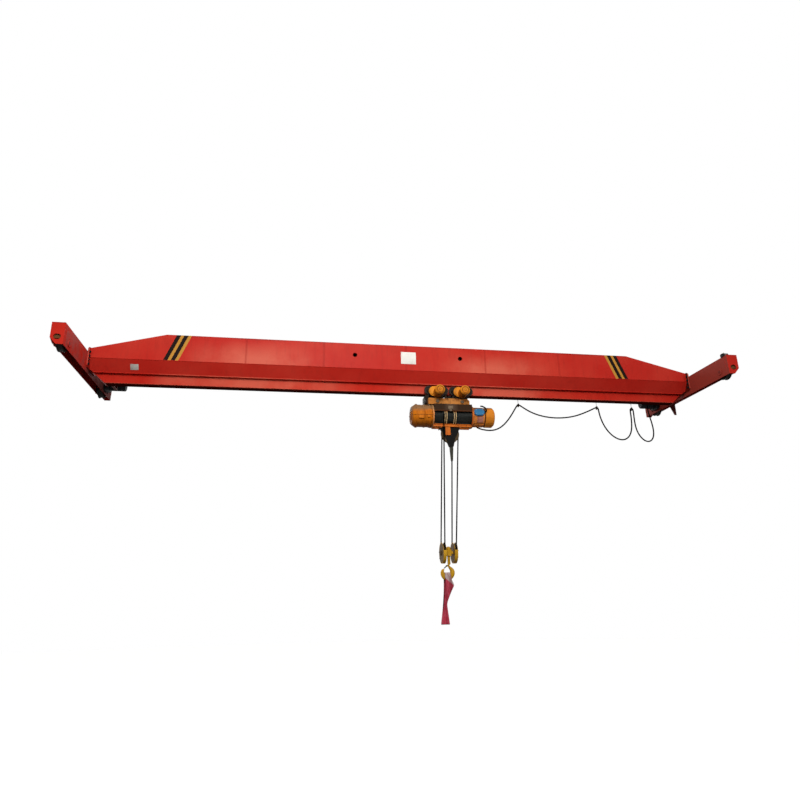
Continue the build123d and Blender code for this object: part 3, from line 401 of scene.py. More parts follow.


# End trucks: boxes of cut plate, welded, with a weld round each end plate and short welds to the stiffeners.
# The left one is dusty on its inner side; painted shade darkens that side from the girder back, and the whole
# inner side of the right one. Sprayed enamel, now matt.
def ragged(material, axis, reach, noise):
    """A coordinate that a noise pushes to and fro, so that the edge of a layer comes out ragged."""
    tree = material.node_tree
    place = add_node(tree, "TexCoord", "Object")
    along = add_node(tree, "SeparateXYZ", axis, {"Vector": place})
    push = add_node(tree, "TexNoise", "Fac", {"Vector": place, **noise})
    return add_node(tree, "Math", 0, {0: push, 1: reach, 2: along}, operation="MULTIPLY_ADD")


truck_inner, truck_outer, truck_foot, truck_top, truck_end = 5.896, 6.104, 0.125, 0.393, 1.5155
left_truck_enamel = weathered("sprayed_enamel_left_truck", "B8241A", "C2382A", "6E1D16", 0.55, 0.3, 0.5,
                              gloss_level=0.01)
shade_and_dust_noise = {"Scale": 5, "Detail": 5}
inner_side = ("X", -5.900, -truck_inner)
painted_shade_edge = ragged(left_truck_enamel, "Y", 0.5, shade_and_dust_noise)
# Painted shade on the left truck's inner side, from the girder back, with a ragged edge.
lay_over(left_truck_enamel, "2A0E0A", 0.85, inner_side, (painted_shade_edge, -0.12, 0.16))
lay_over(left_truck_enamel, "7E5A56", 0.42, inner_side, (shade_and_dust_noise, 0.36, 0.62), ("Y", -1.42, -1.40))
dress(left_truck_enamel, "truck_left")
right_truck_enamel = weathered("sprayed_enamel_right_truck", "B8241A", "C2382A", "6E1D16", 0.5, 0.35, 0.5,
                               gloss_level=0.02)
# Painted shade: the right truck's inner side a darker brown.
lay_over(right_truck_enamel, "7A3A30", 0.72, ("X", 5.900, truck_inner))
dress(right_truck_enamel, "truck_right")
truck_welds = bmesh.new()
for side in (-1, 1):
    for end in (-1, 1):
        corners = [(side * truck_inner, truck_foot), (side * truck_inner, truck_top),
                   (side * truck_outer, truck_top), (side * truck_outer, truck_foot)]
        add_bead(truck_welds, [(x, end * truck_end, z) for x, z in corners], 0.004, 0.02, 13)
        for z in [0.150 + 0.024 * k for k in range(10)]:
            add_rod(truck_welds, *[(side * 5.8945, end * 1.435, z + dz) for dz in (-0.006, 0.006)], 0.003, 8,
                    edge=0.001)
finished("truck_weld_seams", truck_welds, "bridge", red_enamel, 80)

# Stiffeners inside the trucks' ends: flat plate in brushed primer, brown with dust. They show through the
# hand holes.
dusty_primer = weathered("brushed_primer", "6A4426", "7A5434", "33200F", 0.7, 0.6, 0.5, 40)
stiffeners = bmesh.new()
for x in (-6.0, 6.0):
    for y in (-1.478, 1.478):
        add_block(stiffeners, (x - 0.088, y - 0.004, 0.130), (x + 0.088, y + 0.004, 0.340), 0.001)
finished("truck_stiffeners", stiffeners, "bridge", dusty_primer)

# Bridge wheels: cast steel with a turned tread, half matt with brake dust. Their inner faces got some of
# the trucks' red spray.
cast_wheel = weathered("cast_steel_turned", "1D1B19", "312D29", "0E0B09", 0.55, 0.6, 0.5, 60, 0.2, 0.1)
lay_over(cast_wheel, "6E1D14", 0.9, *between("X", -5.899, 5.899, 0.003))
dress(cast_wheel, "wheel_left_near", "wheel_left_far", "wheel_right_near", "wheel_right_far")

# Axle keepers: flat bars of rolled steel, let into a slot of each axle and bolted to the truck's outer side.
# They keep the axle from turning and from sliding out.
wheelbase_half, keeper_face, keeper_z = 1.25, 6.119, 0.135
rolled_steel = weathered("rolled_steel", "8C8880", "A8A49A", "3C342C", 0.4, 0.5, 0.4, 80, 0.9)
keepers = bmesh.new()
for side in (-1, 1):
    outward = Vector((side, 0, 0))
    for end in (-1, 1):
        axle = Vector((side * keeper_face, end * wheelbase_half, keeper_z))
        add_rod(keepers, axle, axle + outward * 0.004, 0.029, 28, edge=0.001)
        add_block(keepers, axle + Vector((0, -0.046, 0.034)), axle + Vector((side * 0.007, 0.046, 0.052)),
                  0.001)
        for dy in (-0.033, 0.033):
            add_bolt(keepers, axle + Vector((side * 0.007, dy, 0.043)), outward, 0.010)
finished("axle_keepers", keepers, "bridge", rolled_steel)


# Bridge drives: motors with cast shells, flanged to gear cases on the trucks' inner sides and brushed black.
# Each has four bolts, a terminal box on top and a wire grille over its fan.
def add_ring(shape, centre, axis, ring_radius, bar_radius, steps=36, sides=6):
    """Round bar bent to a full ring about an axis."""
    made = bmesh.ops.create_circle(shape, cap_ends=False, segments=sides, radius=bar_radius,
                                   matrix=aligned(centre, axis) @ Matrix.Translation((ring_radius, 0, 0))
                                   @ Matrix.Rotation(math.pi / 2, 4, "X"))
    rim = list({edge for vertex in made["verts"] for edge in vertex.link_edges})
    bmesh.ops.spin(shape, geom=made["verts"] + rim, cent=centre, axis=axis, angle=2 * math.pi, steps=steps,
                   use_merge=True)


dress(black_enamel, "bridge_drive_left", "bridge_drive_right")
drive_y, drive_z = 1.05, 0.185
grille_radii, grille_wire = (0.028, 0.046, 0.064, 0.080), 0.002
drive_fittings = bmesh.new()
for side in (-1, 1):
    for dy in (-0.106, 0.106):
        for dz in (-0.088, 0.088):
            add_bolt(drive_fittings, (side * 5.803, drive_y + dy, drive_z + dz), (-side, 0, 0), 0.010)
    cowl = Vector((side * 5.502, drive_y, drive_z))
    for radius in grille_radii:
        add_ring(drive_fittings, cowl, (-side, 0, 0), radius, grille_wire)
    for quarter in range(4):
        angle = math.pi * (quarter / 2 + 0.25)
        spoke = Vector((0, math.cos(angle), math.sin(angle))) * grille_radii[-1]
        add_rod(drive_fittings, cowl, cowl + spoke, grille_wire, 6)
    add_block(drive_fittings, (side * 5.66, 1.005, 0.272), (side * 5.75, 1.095, 0.328), 0.005)
finished("bridge_drive_fittings", drive_fittings, "bridge", black_enamel)

# Limit switch: die-cast box brushed black, with four cover screws and a short roller lever of rolled steel on
# its near side.
dress(black_enamel, "limit_switch")
switch_parts = bmesh.new()
for x in (5.889, 5.989):
    for y in (-1.428, -1.372):
        add_rod(switch_parts, (x, y, 0.452), (x, y, 0.4565), 0.005, 10)
add_rod(switch_parts, (5.935, -1.442, 0.416), (5.935, -1.454, 0.416), 0.012, 20, edge=0.002)
add_rod(switch_parts, (5.935, -1.450, 0.416), (5.895, -1.450, 0.448), 0.005, 10)
add_rod(switch_parts, (5.895, -1.445, 0.448), (5.895, -1.459, 0.448), 0.011, 20, edge=0.002)
finished("limit_switch_lever", switch_parts, "bridge", rolled_steel)

# Trolley bogies: cut plate hung from flanged wheels on the beam's lower flange. Gear grease has turned plate
# and wheels black; the axles end in M24 nuts.
bogie_places = (0.537, 1.030)
greasy_plate = weathered("greasy_steel_plate", "1E1712", "33261B", "0C0806", 0.5, 0.7, 0.5, 90)
greasy_cast = weathered("greasy_cast_wheel", "211A15", "362A20", "0B0907", 0.4, 0.6, 0.5, 40, 0.1, 0.12)
dress(greasy_plate, "bogie_1", "bogie_2")
dress(greasy_cast, "trolley_wheels_1a", "trolley_wheels_1b", "trolley_wheels_2a", "trolley_wheels_2b")
axle_nuts = bmesh.new()
for x in bogie_places:
    for end in (-1, 1):
        for dx in (-0.150, 0.150):
            add_bolt(axle_nuts, (x + dx, end * 0.1335, -0.055), (0, end, 0), 0.024)
finished("axle_nuts", axle_nuts, "trolley", greasy_cast)


# Trolley drives: cone-rotor motors with thin fins and a pressed cap, on round gear covers of cast iron.
# They are sprayed orange; oil has darkened their undersides, and the caps' grooves and rings are painted dark
# as shade.
def add_turned(shape, centre, axis, profile, sides=64):
    """Body turned about an axis from a profile of (along, radius) points; it may close on itself."""
    matrix = aligned(centre, axis)
    closed = profile[0] == profile[-1]
    corners = [shape.verts.new(matrix @ Vector((radius, 0, along)))
               for along, radius in (profile[1:] if closed else profile)]
    around = corners + corners[:1] if closed else corners
    lines = [shape.edges.new(pair) for pair in zip(around, around[1:])]
    bmesh.ops.spin(shape, geom=corners + lines, cent=centre, axis=axis, angle=2 * math.pi, steps=sides,
                   use_merge=True)
    bmesh.ops.remove_doubles(shape, verts=shape.verts, dist=1e-5)


def distance_from(material, keep, centre):
    """Distance from a piece's axis in its own coordinates; keep holds 0 for the axis's direction."""
    tree = material.node_tree
    place = add_node(tree, "TexCoord", "Object")
    flat = add_node(tree, "VectorMath", "Vector", {0: place, 1: keep}, operation="MULTIPLY")
    return add_node(tree, "VectorMath", "Value", {0: flat, 1: centre}, operation="DISTANCE")


motor_axis_z = -0.138
drive_enamel = weathered("sprayed_enamel_trolley_drive", "D07E1C", "DC9434", "4A2A12", 0.42, 0.8, 0.5, 110)
lay_over(drive_enamel, "4A1E0E", 0.6, ("Z", -0.185, -0.225))
# Painted shade in the caps' grooves and rings, by distance from each motor's axis.
for x in bogie_places:
    radius = distance_from(drive_enamel, (1, 0, 1), (x, 0, motor_axis_z))
    for inner, outer, tint, amount in ((0.057, 0.068, "3E1A0A", 0.85), (0.040, 0.057, "B05E1A", 0.6),
                                       (0.014, 0.024, "5A2A10", 0.8)):
        lay_over(drive_enamel, tint, amount, *between(radius, inner - 0.001, outer + 0.001, 0.002),
                 ("Y", -0.438, -0.440))
dress(drive_enamel, "trolley_drive_1", "trolley_drive_2")
motor_fins = 16
cap_profile = [(-0.004, 0.078), (0.006, 0.077), (0.008, 0.073), (0.006, 0.069), (0.001, 0.064),
               (0.001, 0.050), (0.005, 0.046), (0.006, 0.022), (0.006, 0)]
cover_profile = [(0, 0), (0, 0.100), (0.012, 0.100), (0.014, 0.098), (0.014, 0.088), (0.026, 0.084),
                 (0.030, 0.078), (0.030, 0)]
motor_caps = bmesh.new()
gear_covers = bmesh.new()
for x in bogie_places:
    for fin in range(motor_fins):
        turn = Matrix.Rotation(2 * math.pi * (fin + 0.5) / motor_fins, 4, "Y")
        add_block(motor_caps, (-0.0025, -0.376, 0.080), (0.0025, -0.216, 0.088), 0,
                  Matrix.Translation((x, 0, motor_axis_z)) @ turn)
    add_turned(motor_caps, (x, -0.4435, motor_axis_z), (0, -1, 0), cap_profile, 40)
    add_turned(gear_covers, (x - 0.064, -0.164, -0.094), (0, -1, 0), cover_profile, 48)


def add_bolt_ring(shape, centre, axis, radius, count, size, start=0):
    """Bolts on a circle round an axis."""
    matrix = aligned(centre, axis)
    for index in range(count):
        angle = start + 2 * math.pi * index / count
        add_bolt(shape, matrix @ Vector((radius * math.cos(angle), radius * math.sin(angle), 0)), axis, size)


for x in bogie_places:
    add_bolt_ring(gear_covers, (x - 0.064, -0.178, -0.094), (0, -1, 0), 0.094, 8, 0.006, 0.2)
finished("trolley_motor_caps", motor_caps, "trolley", drive_enamel)
finished("trolley_gear_covers", gear_covers, "trolley", drive_enamel)

# Trolley frame: two long cut plates in brushed enamel, tan with dust, on pins that end in big nuts. Its
# saddle is black with drum grease, dusty in the middle.
frame_enamel = weathered("brushed_enamel_frame", "BC7430", "C88848", "4A2412", 0.5, 0.9, 0.55, 120)
# Painted shade: the frame's left end near black.
lay_over(frame_enamel, "1E1410", 0.93, ("X", 0.366, 0.352))
lay_over(frame_enamel, "20150D", 0.96, ("Z", -0.350, -0.354))
lay_over(frame_enamel, "5A4636", 0.8, *between("X", 0.640, 0.940, 0.12), ("Z", -0.352, -0.356))
lay_over(frame_enamel, "4A2010", 0.75, ("Z", -0.300, -0.240), ({"Scale": 11, "Detail": 6}, 0.42, 0.58))
dress(frame_enamel, "trolley_frame")
dusty_iron = weathered("dusty_cast_iron", "6C5B49", "85735E", "33261A", 0.7, 0.8, 0.6, 50)
pivot_nuts = bmesh.new()
for x in bogie_places:
    for end in (-1, 1):
        add_rod(pivot_nuts, (x, end * 0.1585, -0.292), (x, end * 0.1765, -0.292), 0.036, 6, edge=0.002)
finished("pivot_nuts", pivot_nuts, "trolley", dusty_iron)

# Drop stops: blocks of flat bar on the frame, a finger's width under the flange, that catch the trolley if a
# wheel fails. A round bar ties them, and a plate closes the frame's left end. All are black with grease.
drop_stops = bmesh.new()
add_block(drop_stops, (0.306, -0.148, -0.335), (0.334, 0.148, -0.165), 0.004)
for end in (-1, 1):
    for x in (0.354, 0.628, 0.715, 0.790, 0.865):
        add_block(drop_stops, (x - 0.024, end * 0.112, -0.330), (x + 0.024, end * 0.137, -0.166), 0.004)
    add_rod(drop_stops, (0.690, end * 0.124, -0.205), (0.890, end * 0.124, -0.205), 0.014, 12, edge=0.002)
finished("drop_stops", drop_stops, "trolley", greasy_plate)

# Hoist gearbox: ribbed iron casting in two halves with a dark line between, sprayed orange. Dust has settled
# on top down to a ragged edge, and oil has run to the bottom.
hoist_z = -0.555
gearbox_enamel = weathered("sprayed_enamel_gearbox", "C4690E", "CE7A1E", "4A2608", 0.42, 0.85, 0.5, 140)
# Painted shade: the gearbox's left end face browner.
lay_over(gearbox_enamel, "7A4A1C", 0.5, ("X", 0.060, 0.044))
lay_over(gearbox_enamel, "3A1E0A", 0.85, *between("Z", -0.594, -0.582, 0.003))
dust_edge = ragged(gearbox_enamel, "Z", 0.10, {"Scale": 9, "Detail": 6})
lay_over(gearbox_enamel, "7C6448", 0.85, (dust_edge, -0.475, -0.400))
lay_over(gearbox_enamel, "6E3A10", 0.55, ("Z", -0.66, -0.74))
dress(gearbox_enamel, "hoist_gearbox")

# Hoist motor: ribbed iron casting with a pressed brake cowl, sprayed orange. The cowl is a little browner,
# the gap before it is painted black as shade, and dust lies on the ribs.
motor_enamel = weathered("sprayed_enamel_motor", "D6803A", "DE9148", "5A3018", 0.42, 0.8, 0.5, 120)
lay_over(motor_enamel, "D07C1E", 0.85, ("X", 1.486, 1.490))
lay_over(motor_enamel, "5A4028", 0.75, ((-0.25, 0, 1), -0.835, -0.775))
# Painted shade in the gap before the cowl.
lay_over(motor_enamel, "2A1810", 0.9, *between("X", 1.460, 1.490, 0.004))
dress(motor_enamel, "hoist_motor")

# Bolts of the hoist: rings of M10 and M12 bolts draw gearbox, drum and motor together face to face. They
# are rusty where the paint has flaked off. The motor's end has a round cover.
rusty_iron = weathered("rusty_cast_iron", "4C3F2E", "62523E", "241B14", 0.7, 0.7, 0.6, 50, 0.3)
hoist_bolts = bmesh.new()
for x, facing, radius, count, size, start in (
        (0.025, -1, 0.074, 6, 0.010, 0), (0.416, -1, 0.2245, 16, 0.010, 0.1),
        (1.242, 1, 0.208, 12, 0.012, 0.13), (1.677, 1, 0.108, 6, 0.010, 0)):
    add_bolt_ring(hoist_bolts, (x, 0, hoist_z), (facing, 0, 0), radius, count, size, start)
add_rod(hoist_bolts, (1.6765, 0, hoist_z), (1.684, 0, hoist_z), 0.045, 32, edge=0.002)
finished("hoist_bolts", hoist_bolts, "trolley", rusty_iron)

# Motor plate: thin brass riveted to the motor's near side, gone brown, left bare.
brown_brass = weathered("tarnished_brass", "A86A58", "BC8470", "4A2A1E", 0.5, 0.5, 0.4, 40, 0.1)
motor_plate = bmesh.new()
add_block(motor_plate, (-0.060, -0.1920, -0.056), (0.060, -0.178, 0.056), 0.001,
          Matrix.Translation((1.375, 0, hoist_z)) @ Matrix.Rotation(math.radians(28), 4, "X"))
finished("motor_plate", motor_plate, "trolley", brown_brass)

# Drum housing: rolled steel shell, open at the front, with two rails along the rope slot below and a rolled
# cover behind. Sprayed orange; its upper part, under the saddle, is painted near black as grease and as the
# saddle's shade, and its left rim is paler.
housing_enamel = weathered("sprayed_enamel_housing", "C8641C", "CE7830", "4A2A12", 0.42, 0.75, 0.45, 180)
# Near black above the window: grease and painted shade under the saddle.
lay_over(housing_enamel, "2A1E15", 0.93, ("Z", -0.503, -0.497))
# The left rim paler.
lay_over(housing_enamel, "D0A070", 0.75, ("X", 0.456, 0.450))
lay_over(housing_enamel, "B85A28", 0.6, ("X", 1.205, 1.209), ("Y", 0.0, -0.05))
dress(housing_enamel, "drum_housing")
slot_rails = bmesh.new()
for y in (-0.104, 0.086):
    add_block(slot_rails, (0.456, y, -0.784), (1.212, y + 0.018, -0.742), 0.003)
finished("slot_rails", slot_rails, "trolley", housing_enamel)

cover_start, cover_sweep, cover_steps = math.radians(-58), math.radians(74), 18
rear_cover = bmesh.new()
section = [rear_cover.verts.new((x, radius * math.cos(cover_start), hoist_z + radius * math.sin(cover_start)))
           for x, radius in ((0.462, 0.2105), (1.208, 0.2105), (1.208, 0.2185), (0.462, 0.2185))]
outline = [rear_cover.edges.new(pair) for pair in zip(section, section[1:] + section[:1])]
bmesh.ops.spin(rear_cover, geom=section + outline, cent=(0, 0, hoist_z), axis=(1, 0, 0), angle=cover_sweep,
               steps=cover_steps)


def close_ends(shape):
    """Fill the open ends of swept bars."""
    bmesh.ops.holes_fill(shape, edges=[edge for edge in shape.edges if edge.is_boundary], sides=12)


close_ends(rear_cover)
finished("drum_rear_cover", rear_cover, "trolley", housing_enamel)

# Rope guide's lug: iron casting on the saddle's front that keeps the guide from turning, grey with dust.
guide_lug = bmesh.new()
add_block(guide_lug, (0.728, -0.232, -0.470), (0.828, -0.196, -0.398), 0.012)
add_rod(guide_lug, (0.778, -0.236, -0.432), (0.778, -0.200, -0.432), 0.030, 24, edge=0.006)
add_block(guide_lug, (0.750, -0.226, -0.505), (0.806, -0.204, -0.460), 0.006)
finished("rope_guide_lug", guide_lug, "trolley", dusty_iron)

# Terminal box: pressed steel in blue stove enamel with four lid screws. A lead loops from it over the
# motor; its extruded rubber is matt black with next to no gloss.
blue_enamel = weathered("stove_enamel_blue", "2F6B96", "4784AC", "14303F", 0.4, 0.4, 0.4, 90)
dress(blue_enamel, "terminal_box")
rubber = weathered("extruded_rubber", "0A0A0A", "141414", "050505", 0.6, 0.2, 0.4, 60, 0, 0.01)


def add_tube(shape, points, radius, sides=10):
    """Round tube along a bent line of points."""
    points = [Vector(point) for point in points]
    side = (points[1] - points[0]).orthogonal().normalized()
    places = []
    for before, point, after in zip(points[:1] + points, points, points[1:] + points[-1:]):
        ahead = (after - before).normalized()
        side = (side - ahead * side.dot(ahead)).normalized()
        turn = Matrix((side, ahead.cross(side), ahead)).transposed().to_4x4()
        places.append(Matrix.Translation(point) @ turn)
    add_swept(shape, places, [radius] * len(points), sides)


box_lead = bmesh.new()
add_tube(box_lead, [(1.446, -0.205, -0.498), (1.474, -0.212, -0.500), (1.492, -0.212, -0.478),
                    (1.496, -0.206, -0.448), (1.484, -0.198, -0.420), (1.455, -0.190, -0.395),
                    (1.420, -0.180, -0.374), (1.400, -0.150, -0.366)], 0.014, 10)
finished("box_lead", box_lead, "trolley", rubber)
box_screws = bmesh.new()
for x in (1.280, 1.412):
    for z in (-0.546, -0.470):
        add_rod(box_screws, (x, -0.236, z), (x, -0.240, z), 0.006, 12, edge=0.001)
finished("box_screws", box_screws, "trolley", rolled_steel)

# Rope drum: steel tube with turned grooves between two end discs, one layer of wire rope wound on it and the
# first turns of a second. Rope grease gives it a wet dark sheen.
drum_grease = weathered("greased_drum_rope", "10120F", "1E221C", "050504", 0.42, 0.4, 0.5, 50, 0, 0.25)
coil_radius, coil_pitch, rope_radius = 0.159, 0.0198, 0.0088
turns, steps_per_turn = 36, 30
drum = bmesh.new()
coil_start = bmesh.ops.create_circle(drum, cap_ends=False, segments=7, radius=rope_radius,
                                     matrix=Matrix.Translation((0.478, coil_radius, hoist_z)))["verts"]
bmesh.ops.spin(drum, geom=coil_start + drum.edges[:], cent=(0, 0, hoist_z), axis=(1, 0, 0),
               dvec=(coil_pitch / steps_per_turn, 0, 0), angle=2 * math.pi * turns,
               steps=turns * steps_per_turn)
close_ends(drum)
for x in (0.630, 0.648):
    add_ring(drum, (x, 0, hoist_z), (1, 0, 0), 0.1773, rope_radius, 40, 7)
add_rod(drum, (0.419, 0, hoist_z), (1.249, 0, hoist_z), 0.0352, 40)
for x in (0.452, 1.200):
    add_rod(drum, (x, 0, hoist_z), (x + 0.016, 0, hoist_z), 0.178, 64, edge=0.002)
add_rod(drum, (0.467, 0, hoist_z), (1.201, 0, hoist_z), 0.150, 48)
drum_piece = finished("wound_rope_drum", drum, "rope_drum", drum_grease)
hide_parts("rope_drum")

# Rope guide: two split hoops of channel section round the drum, joined by a bar under the housing's top.
# Sprayed enamel, orange at the top; below it the enamel is painted pale as the light on the hoops' edges, and
# the channels are painted black as shade.
# Painted light: the pale enamel stands for the lit edges of the hoops.
hoop_enamel = weathered("sprayed_enamel_hoops", "F0C88C", "F4DCB4", "6A4A2A", 0.5, 0.5, 0.6, 60)
hoop_places, hoop_inner, hoop_outer = (0.690, 0.872), 0.1815, 0.198
hoops = bmesh.new()
for x in hoop_places:
    # Painted shade in the hoop's channel.
    lay_over(hoop_enamel, "1A120C", 0.93, *between("X", x - 0.0165, x + 0.0165, 0.0015))
    add_turned(hoops, (x, 0, hoist_z), (1, 0, 0),
               [(-0.023, hoop_inner), (-0.023, hoop_outer), (-0.017, hoop_outer), (-0.017, 0.186),
                (0.017, 0.186), (0.017, hoop_outer), (0.023, hoop_outer), (0.023, hoop_inner),
                (-0.023, hoop_inner)], 72)
lay_over(hoop_enamel, "C8701A", 0.9, ("Z", -0.530, -0.490))
add_block(hoops, (0.667, -0.028, -0.372), (0.895, 0.028, -0.3475), 0.002)
hoop_piece = finished("rope_guide_hoops", hoops, "trolley", hoop_enamel)
dress(hoop_enamel, "rope_guide")
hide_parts("rope_guide")

# Upper block: pressed side plates that hang the upper sheave under the hoist, orange at the very front and
# black with grease behind. A forged wedge socket holds the rope's dead end.
block_enamel = weathered("sprayed_enamel_upper_block", "C4601C", "D07A30", "4A2A12", 0.42, 0.75, 0.45, 120)
lay_over(block_enamel, "0E0C0A", 1.0, ("Y", -0.074, -0.071))
dress(block_enamel, "upper_block")
greasy_steel = weathered("greasy_forged_steel", "26261F", "3C3B30", "0E0E0B", 0.45, 0.6, 0.5, 60, 0.4, 0.2)
dress(greasy_steel, "wedge_socket")
dress(rusty_iron, "upper_sheave", "block_sheave_left", "block_sheave_right")

# Hook block: forged crosshead and hook, and pressed covers over two sheaves, brushed yellow. The rims of the
# covers are rubbed to bare metal. Nuts on the axle's ends and M10 bolts hold the covers together.
block_x, block_z, cover_bolt_radius = 0.675, -3.14, 0.166
forged_enamel = weathered("brushed_enamel_forging", "C08E1C", "CFA23C", "4A3A20", 0.45, 0.7, 0.5, 120)
dress(forged_enamel, "crosshead", "hook")
cover_enamel = weathered("brushed_enamel_covers", "C08E1C", "CFA23C", "4A3A20", 0.45, 0.7, 0.5, 90)
from_axle = distance_from(cover_enamel, (0, 1, 1), (0, 0, block_z))
lay_over(cover_enamel, "5A4A3A", 0.85, (from_axle, 0.176, 0.173))
dress(cover_enamel, "sheave_guards")
latch_iron = weathered("pressed_steel_latch", "14201A", "22301F", "0A0C0A", 0.5, 0.5, 0.5, 20, 0.2, 0.1)
dress(latch_iron, "hook_latch")
block_bolts = bmesh.new()
for side in (-1, 1):
    end_x = block_x + side * 0.142
    add_rod(block_bolts, (end_x - side * 0.006, 0, block_z), (end_x + side * 0.016, 0, block_z), 0.046, 6,
            edge=0.003)
    for angle in map(math.radians, (-30, -90, -150, 170, 10)):
        y, z = cover_bolt_radius * math.cos(angle), block_z + cover_bolt_radius * math.sin(angle)
        add_bolt(block_bolts, (block_x + side * 0.134, y, z), (side, 0, 0), 0.010)
finished("hook_block_bolts", block_bolts, "hook_block", rusty_iron)

# Rope in the sheaves' grooves: half a turn under each sheave of the hook block and over the upper one.
# Wire rope soaked in black grease takes the light without any shine.
groove_radius, arc_steps = 0.158, 24
black_grease = weathered("greased_wire_rope", "050504", "0C0B09", "020202", 0.8, 0.3, 0.4, 60, 0, 0.0)
block_rope = bmesh.new()
for x in (0.570, 0.780):
    half_turn = [math.pi * (1 + k / arc_steps) for k in range(arc_steps + 1)]
    add_tube(block_rope, [(x, -groove_radius, -3.128)]
             + [(x, groove_radius * math.cos(a), block_z + groove_radius * math.sin(a)) for a in half_turn]
             + [(x, groove_radius, -3.128)], rope_radius, 8)
finished("rope_under_block", block_rope, "hook_block", black_grease, 80)
upper_rope = bmesh.new()
half_turn = [math.pi * (1 - k / arc_steps) for k in range(arc_steps + 1)]
add_tube(upper_rope, [(0.630, -0.030, -0.927)]
         + [(0.790 + 0.160 * math.cos(a), -0.030, -0.915 + 0.160 * math.sin(a)) for a in half_turn]
         + [(0.950, -0.030, -0.927)], rope_radius, 8)
finished("rope_over_sheave", upper_rope, "trolley", black_grease, 80)

# Falls of wire rope: six strands round a core, taut between the hoist and the hook block. The real rope is 18
# mm thick and is drawn at 28 mm, or it wouldn't show.
fall_radius, fall_strands, lay_length, fall_step = 0.0138, 6, 0.110, 0.018
lay_radius = 0.64 * fall_radius
strand_tilt = math.atan(2 * math.pi * lay_radius / lay_length)
dress(black_grease, "rope_drum", "rope_falls")
rope_ends = [((0.648, -0.1773, -0.555), (0.570, -0.158, -3.128)),
             ((0.630, -0.030, -0.927), (0.570, 0.158, -3.128)),
             ((0.950, -0.030, -0.927), (0.780, -0.158, -3.128)),
             ((0.806, -0.030, -1.444), (0.780, 0.158, -3.128))]
for number, (top, foot) in enumerate(rope_ends, 1):
    along = Vector(foot) - Vector(top)
    count = max(2, round(along.length / fall_step))
    rope = bmesh.new()
    for strand in range(fall_strands):
        section = (aligned(top, along) @ Matrix.Rotation(2 * math.pi * strand / fall_strands, 4, "Z")
                   @ Matrix.Translation((lay_radius, 0, 0)) @ Matrix.Rotation(-strand_tilt, 4, "X"))
        made = bmesh.ops.create_circle(rope, cap_ends=False, segments=5, radius=fall_radius * 0.36,
                                       matrix=section)["verts"]
        rim = list({edge for vertex in made for edge in vertex.link_edges})
        bmesh.ops.spin(rope, geom=made + rim, cent=top, axis=along, dvec=along / count,
                       angle=2 * math.pi * along.length / lay_length, steps=count)
    close_ends(rope)
    add_rod(rope, top, foot, fall_radius * 0.78, 8)
    fall = finished("rope_fall_%d" % number, rope, None, black_grease, 80)
    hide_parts("rope_falls")
    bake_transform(fall)

# Web sling: one flat polyester strap, woven and dyed red, laid over the hook's bowl, its legs bunched at a
# neck. Its creases and the left edge of its legs are painted dark as shade, and its edge is bleached. The
# weave shows as bands, 1.5 mm on the real one and drawn at 11 mm. The path is (y, z) down the middle, the
# edges are (z, left x, right x).
webbing = weathered("woven_polyester", "BC3A4C", "CE6272", "5A1A26", 0.85, 0.5, 0.6, 50)
lay_over(webbing, "BEB8B4", 0.85, ((0.8, 0, 1), -3.13, -3.105))
# Painted shadow of the fold along the left edge of the legs.
lay_over(webbing, "1E0A0C", 0.9, ((1, 0, -0.0938), 0.931149, 0.921149), ("Z", -4.16, -4.08),
         ("Z", -3.56, -3.60))
tree = webbing.node_tree
place = add_node(tree, "TexCoord", "Object")
# Painted shade in the creases.
down = add_node(tree, "Mapping", "Vector", {"Vector": place, "Scale": (40, 8, 3)})
painted_crease_shade = add_node(tree, "TexNoise", "Fac", {"Vector": down, "Scale": 1, "Detail": 4})
lay_over(webbing, "7A1626", 0.6, (painted_crease_shade, 0.50, 0.66))
weave = add_node(tree, "TexWave", "Fac", {"Vector": place, "Scale": 90, "Distortion": 1.5},
                 bands_direction="Z")
lay_over(webbing, "5A141E", 0.35, (weave, 0, 1))
sling_half_path = [(0.000, -3.484), (0.026, -3.485), (0.045, -3.492), (0.055, -3.510), (0.057, -3.560),
                   (0.056, -3.640), (0.052, -3.700), (0.046, -3.760), (0.036, -3.850), (0.023, -3.940),
                   (0.013, -4.010), (0.012, -4.080), (0.012, -4.180), (0.012, -4.280), (0.012, -4.370)]
sling_edges = [(-3.484, 0.581, 0.683), (-3.605, 0.577, 0.690), (-3.660, 0.574, 0.722), (-3.700, 0.573, 0.755),
               (-3.745, 0.570, 0.722), (-3.850, 0.560, 0.672), (-4.010, 0.539, 0.606), (-4.120, 0.527, 0.616),
               (-4.372, 0.488, 0.648)]


def edges_at(z):
    """Left and right edge of the sling at a height."""
    for (z0, a0, b0), (z1, a1, b1) in zip(sling_edges, sling_edges[1:]):
        if z >= z1:
            part = (z0 - z) / (z0 - z1)
            return a0 + (a1 - a0) * part, b0 + (b1 - b0) * part
    return sling_edges[-1][1:]


